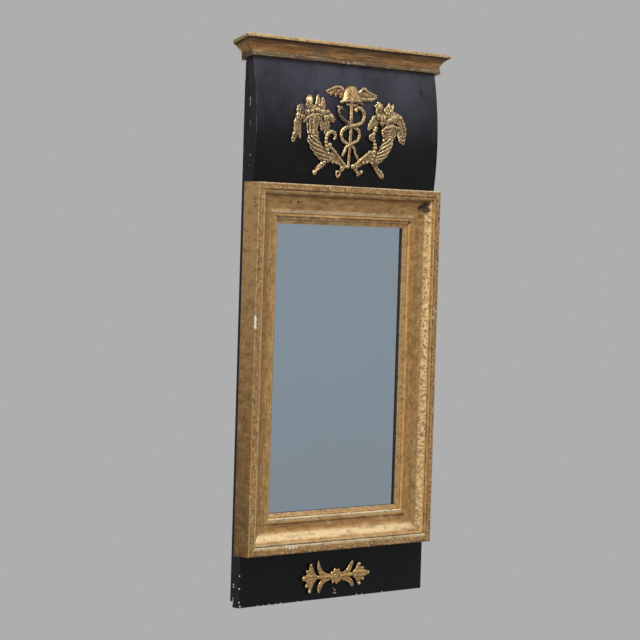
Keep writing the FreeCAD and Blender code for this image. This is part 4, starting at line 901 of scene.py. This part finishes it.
right.rod([
    (40, 36, 2, 5), (46.5, 29, 2.2, 4.2), (53, 22.5, 2.2, 4.2), (59.5, 17.5, 2.2, 5),
    (65, 13.5, 2, 3.4)], flat=0.7, groove=0.45, ribs=(6, 0.12), steps=8)
right.ball(63, 14.8, 2.6, 3.4)
right.rod([(1, 27.5, 2.2, 3), (7, 22.5, 2, 2.8), (12, 17.5, 1.8, 2.6), (16, 15.5, 1.8, 2)],
          ribs=(3, 0.2), steps=6)
right.balls([(19.5, 19, 2.8, 3.1), (12.5, 14.8, 2.4, 2.6)])
right.ball(-9, 25.5, 2.8, 3.6, tall=0.8)
right.balls([(1, 26.5, 3.4, 4), (8.5, 26.5, 3, 3.2)])
right.balls([
    (64, 101, 1.2, 11.5), (79, 101, 1.2, 13), (90, 101, 1.2, 10), (55, 101, 1.2, 9.5),
    (69, 110, 1.2, 9)], deep=0.4)
right.flower(54.5, 117, 3.4, 9.6, petals=5, spin=0.25)
right.rod([(50, 108, 2.2, 3), (48.5, 112, 2.2, 2.6)], steps=3)
right.balls([
    (60, 101, 5.6, 6.4), (66.5, 113, 3.4, 5.2), (74, 98, 6.2, 5), (92, 95.5, 3.8, 5.2),
    (52, 103, 4, 5.4), (70, 107, 4.4, 5.4), (68, 95.5, 6.6, 4.6), (59, 93.5, 5, 4.4),
    (96, 103.5, 2.8, 4.6), (70, 103.5, 6.2, 3.8)], lobes=(5, 0.1))
right.ball(84, 100.5, 4.6, 9.4, tall=0.8, deep=0.55)
right.bud(72, 111, 2.6, 76.5, 125.8, 3.2)
right.bud(79, 111, 2.8, 84.5, 123.5, 2.8)
right.ball(78, 112, 3, 4.6)
right.leaf([
    (54, 104, 3.2, 4.2), (46, 99.5, 3, 5.4), (39, 92.5, 2.6, 5.2), (34, 86.5, 2, 4),
    (31, 82.5, 1.6, 2)], veins=5)
right.leaf([(51, 96, 3.4, 3.4), (45.5, 91, 2.8, 4.2), (41, 84.5, 1.8, 1.8)], veins=3)
right.rod([(91, 106, 3.4, 3.6), (99, 101.5, 3.2, 3.4), (104.5, 93.5, 2.8, 3.2),
           (107, 84, 2.4, 2.8)], flat=0.8, steps=7)
right.leaf([
    (97, 100, 2.6, 5.2), (102.5, 91, 2.4, 6.4), (104, 81, 2.2, 6), (103.5, 72, 1.8, 4.8),
    (104, 64.5, 1.4, 2.4)], veins=7, depth=0.5)
right.leaf([(93, 93, 2.8, 4.2), (95.5, 84, 2.4, 4.8), (97, 75, 2, 4.4), (98.5, 67, 1.4, 2)],
           veins=6, depth=0.5)
for _ in range(26):
    right.ball(94 + 12 * random.random(), 68 + 26 * random.random(), 3.4, 1.5)
right.piece("right_horn_relief", gold, "cornucopia_right", 0.6)

# Black strips that close the sides between wall, battens and the bowed board's head; their black
# sides are partly painted shade

STRIP_OUT, STRIP_IN, EDGE, WALL_GAP, CLEAR = 178, 174.2, 0.6, 0.8, 0.4
STRIP_FOOT, STRIP_HEAD, WALL_HEAD = 28.3, 55.4, 53.2
for hand, name in ((-1, "side_strip_left"), (1, "side_strip_right")):
    sections = []
    for x_mm, inset in ((STRIP_OUT, EDGE), (STRIP_OUT - EDGE, 0), (STRIP_IN + EDGE, 0),
                        (STRIP_IN, EDGE)):
        edge = [(-WALL_GAP - inset, STRIP_FOOT + inset)]
        for z_mm in (STRIP_FOOT + inset, 36, 44, 50, STRIP_HEAD - inset):
            back_face = BOW_Y - math.sqrt((BOW - FRIEZE_THICKNESS) ** 2 - (z_mm - BOW_Z) ** 2)
            edge.append((back_face + CLEAR + inset, z_mm))
        edge.append((-WALL_GAP - inset, WALL_HEAD - inset))
        sections.append([Vector((hand * x_mm, y_mm, z_mm)) * MM for y_mm, z_mm in edge])
    strip = bmesh.new()
    rows = tube(strip, sections)
    strip.faces.new(list(reversed(rows[0])))
    strip.faces.new(rows[-1])
    side_strip = placed(name, strip, pine_stained_and_shaded)
    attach(side_strip, "mirror")

# Apron ornament

button = Relief(apron_point)
warm_gold = relief_gold("spray_gold", 0.32)
for number in range(8):
    turn = 2 * math.pi * (number + 0.25) / 8
    side, up = math.cos(turn), math.sin(turn)
    button.rod([(ROSE_X + side * reach, ROSE_HEIGHT + up * reach, lift, radius)
                for reach, lift, radius in ((4, 3, 2.6), (8.2, 3.4, 3.6), (10.6, 1.8, 2.9))],
               flat=0.8, groove=0.5, steps=5)
button.ball(ROSE_X, ROSE_HEIGHT, 1, 10.6, deep=0.26)
button.ball(ROSE_X, ROSE_HEIGHT, 2.4, 5.2, deep=0.5)
button.ring(ROSE_X, ROSE_HEIGHT, 5, 3, 1.2, tip=0.7)
button.ball(ROSE_X + 0.3, ROSE_HEIGHT - 0.5, 4.8, 1.5)
button.piece("rosette_relief", warm_gold, "rosette", 0.5)


def left_point(x, height, lift):
    """A point of the left spray; x is the distance from the sprays' middle."""
    return apron_point(SPRAY_MIDDLE - x, height, lift)


def right_point(x, height, lift):
    """A point of the right spray, in the same way."""
    return apron_point(SPRAY_MIDDLE + x, height, lift)


# Each spray: its side, its upper and its lower scroll's last rows, its end and the end's radius

SPRAYS = (
    ("left", left_point, 1, [(32, -25.5, 2.4, 3.2), (33, -16.5, 2, 1.4)],
     [(25.5, -48, 2.8, 3.8), (30, -54.5, 2.6, 3.8), (31, -61.5, 2, 2.4)], 61, 4),
    ("right", right_point, 0.76, [(32, -26.1, 2.4, 3.2), (35.5, -20.5, 2, 1.4)],
     [(29, -48, 2.8, 3.8), (34, -52.5, 2.6, 3.8), (36.5, -57, 2, 2.4)], 67, 3),
)
for side, point, squash, upper, lower, far, knob in SPRAYS:
    spray = Relief(point)
    spray.rod([(10, -40.2, 2.4, 3.2), (21, -39.8, 2.4, 2.4), (29, -39.6, 2.8, 3.4),
               (35, -39.4, 2.2, 2.4)], steps=6)
    spray.leaf([(10, -39, 2.2, 3), (20, -37.5, 2.8, 3.6), (27.5, -33, 2.8, 4), *upper],
               veins=0, depth=0)
    spray.leaf([(9, -42.5, 2.2, 3), (18, -44, 2.8, 3.6), *lower], veins=0, depth=0)
    spray.leaf([(34, -39.6, 2.4, 2.8), (44, -39.4, 3.2, 4.6), (54, -39.4, 3.6, 5),
                (far - 3, -39.6, 3.2, 4.2)], veins=2, depth=0.15)
    for tip_height, bend, end_x in ((-29.5, -34, 55), (-21, -29.5, 48),
                                    (-50.5, -46, 55.5), (-59, -49.5, 49)):
        way = 1 if tip_height > STEM else -1
        tip_height = STEM + (tip_height - STEM) * squash
        bend = STEM + (bend - STEM) * squash
        spray.leaf([(38, STEM + way * 1.4, 2.4, 2.6), (44, (bend + STEM) / 2 + 0.6 * way, 2.8, 3.8),
                    ((end_x + 45) / 2, bend, 3, 4.2), (end_x, tip_height, 2.2, 2.6)],
                   veins=0, depth=0)
        spray.ball(end_x + 0.8, tip_height, 2.6, 2.7)
    spray.ball(far, -39.4, 3.2, knob, deep=0.8)
    spray.piece(f"spray_relief_{side}", warm_gold, f"leaf_spray_{side}", 0.4)

# Materials on the carried-over nodes

frieze_black = black_board("frieze_black", FRIEZE_HALF, bow_depth, [
    (-103, -38, 27, 1.3), (-37.5, -37, 28, 1.6), (-20, -33, 42, 1.2), (181, -34, 40, 1),
    (-181.5, -16, 2, 1.3), (-181.5, -16.2, -1.5, 1.5), (-181.5, -16.4, -5, 1.5),
    (-181.5, -16.6, -8, 1.2), (-181.5, -17.4, -29, 1), (-181.5, -17.6, -32.5, 1.2),
    (-181.5, -17.7, -36, 1), (-181.5, -19.5, -77, 1),
], 0.4)
apron_black = black_board("apron_black", APRON_HALF, lambda g: g.add(g.y, -APRON_FRONT), [
    (1, -24, -702, 1), (2.9, -24, -698.4, 1), (4.6, -24, -702.4, 1),
    (0.4, -24, -695.4, 0.7), (48, -24, -709, 1.7), (58, -24, -709, 1.5),
    (-182.4, -10.5, -637.5, 1.2), (-182.4, -12, -677.5, 1.3), (-182.4, -12, -680.5, 1.3),
    (-182.4, -11, -697, 1.6), (-182.4, -11, -700.5, 1.7), (-182.4, -11, -704, 1.5),
    (-182, -23.8, -664, 1.1), (-182, -23.8, -682, 1.3), (-182, -23.8, -701, 1.3),
    (-180, -23.6, -707, 1.5), (-147, -24, -709.2, 1.5), (-136, -24, -709.3, 1.3),
    (-125, -24, -709.2, 1.6), (-112, -24, -709.3, 1.3), (-103, -24, -709.2, 1.4),
    (-70, -24, -709.2, 1.2), (-57, -24, -709.2, 1.3), (100, -24, -709.2, 1.7),
], 0.55)
pine_level = bare_pine("pine_level", False)
iron = forged_iron()
finishes = (
    # The rails and stiles share one gilding, in copies that differ by their bands of painted shade
    # and highlights
    (frame_gilding("top_gold", False, RAIL_TOP_SHADING_AND_WEAR, False), "frame_rail_top"),
    (frame_gilding("bottom_gold", False, RAIL_BOTTOM_SHADING_AND_WEAR, False), "frame_rail_bottom"),
    (frame_gilding("stile_gold", True, STILE_SHADING_AND_WEAR, True), "frame_stile_left frame_stile_right"),
    (cornice_gilding("cornice_gold", True), "cornice_front"),
    (cornice_gilding("return_gold", False), "cornice_return_left cornice_return_right"),
    (frieze_black, "frieze_board"), (apron_black, "apron_board"),
    (silvered_plate(), "mirror_glass"), (bare_pine("pine_upright", True), "glazing_blocks"),
    (iron, "hanger_eye hanging_ring backboard_nails batten_nails_left batten_nails_right"),
    (pine_stained_and_shaded, "back_batten_left back_batten_right frieze_rib_left frieze_rib_right"),
    (pine_level, "backboard_upper backboard_lower upper_tie lower_tie"),
    (pine_level, "hanger_rail cornice_core cornice_glue_blocks"),
)
for material, nodes in finishes:
    for node in nodes.split():
        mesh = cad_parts[node].data
        mesh.materials.clear()
        mesh.materials.append(material)

# Studio: a pale floor, soft light from the upper left, and the photograph's viewing angle

floor_mesh = bpy.data.meshes.new("floor")
HALF_FLOOR, FLOOR_LEVEL = 1.8, -1.25
floor_mesh.from_pydata([(x * HALF_FLOOR, y * HALF_FLOOR, FLOOR_LEVEL)
                        for x, y in ((-1, -1), (1, -1), (1, 1), (-1, 1))], [], [(0, 1, 2, 3)])
floor = linked("floor", floor_mesh)
ground = Graph("pale_floor")
ground.colour = tone(172, 172, 172)
floor_mesh.materials.append(ground.finish(roughness=0.9))

# Light from the sky: each lobe's aim, where it starts, where it is full, and its power

SKY = [((0, 0, 1), 0.1, 0.9, 0.55), ((0.69, -0.25, 0.68), 0.8, 0.99, 0.75),
       ((-0.69, -0.7, 0.05), 0.86, 0.995, 0.75), ((0.69, -0.72, 0.03), 0.78, 0.96, 0.38),
       ((0, -1, 0), 0.2, 0.9, 0.05)]
world = bpy.data.worlds.new("studio")
bpy.context.scene.world = world
world.use_nodes = True
sky = Nodes(world.node_tree)
sky.nodes.clear()
toward = sky.node("TexCoord").outputs["Generated"]
glow = 0.26
for aim, low, high, power in SKY:
    along = sky.vector("DOT_PRODUCT", toward, Vector(aim).normalized())
    glow = sky.do("ADD", glow, sky.step(along, low, high, power))
soft = sky.node("Background", {"Color": (0.97, 0.985, 1, 1), "Strength": glow})
plain = sky.node("Background", {"Color": tone(175, 174, 174), "Strength": 1})
seen = sky.node("MixShader", {0: sky.node("LightPath").outputs["Is Camera Ray"],
                              1: soft.outputs[0], 2: plain.outputs[0]})
sky.node("OutputWorld", {"Surface": seen.outputs[0]})


def soft_light(name, place, power, width, height, colour):
    """A large soft light that faces the mirror's middle."""
    data = bpy.data.lights.new(name, "AREA")
    data.shape = "RECTANGLE"
    data.size, data.size_y = width, height
    data.energy = power
    data.color = colour
    lamp = linked(name, data)
    lamp.location = place
    aim = Vector((0, 0, -0.3)) - Vector(place)
    lamp.rotation_euler = aim.to_track_quat("-Z", "Y").to_euler()


soft_light("key", (-1.1, -1.5, 1.9), 42, 1.6, 1.2, (1, 0.985, 0.96))
soft_light("fill", (-2.6, -1.2, 0.2), 10, 1.4, 1.8, (0.96, 0.98, 1))
soft_light("behind", (0.6, 2.2, 1.2), 14, 2.2, 2, (1, 1, 1))

eye = Vector((-2.3177, -2.425, -0.2046))
yaw, pitch, roll = 0.758499, -0.0307749, 0.0299133
ahead = Vector((math.sin(yaw) * math.cos(pitch), math.cos(yaw) * math.cos(pitch),
                math.sin(pitch)))
level = Vector((math.cos(yaw), -math.sin(yaw), 0))
upward = level.cross(ahead)
to_right = level * math.cos(roll) + upward * math.sin(roll)
to_top = upward * math.cos(roll) - level * math.sin(roll)
lens = bpy.data.cameras.new("camera")
lens.sensor_width = 36
lens.lens = 130.05
camera = linked("camera", lens)
turn = Matrix((to_right, to_top, -ahead)).transposed().to_4x4()
camera.matrix_world = Matrix.Translation(eye) @ turn
bpy.context.scene.camera = camera
bpy.context.scene.view_settings.view_transform = "Standard"
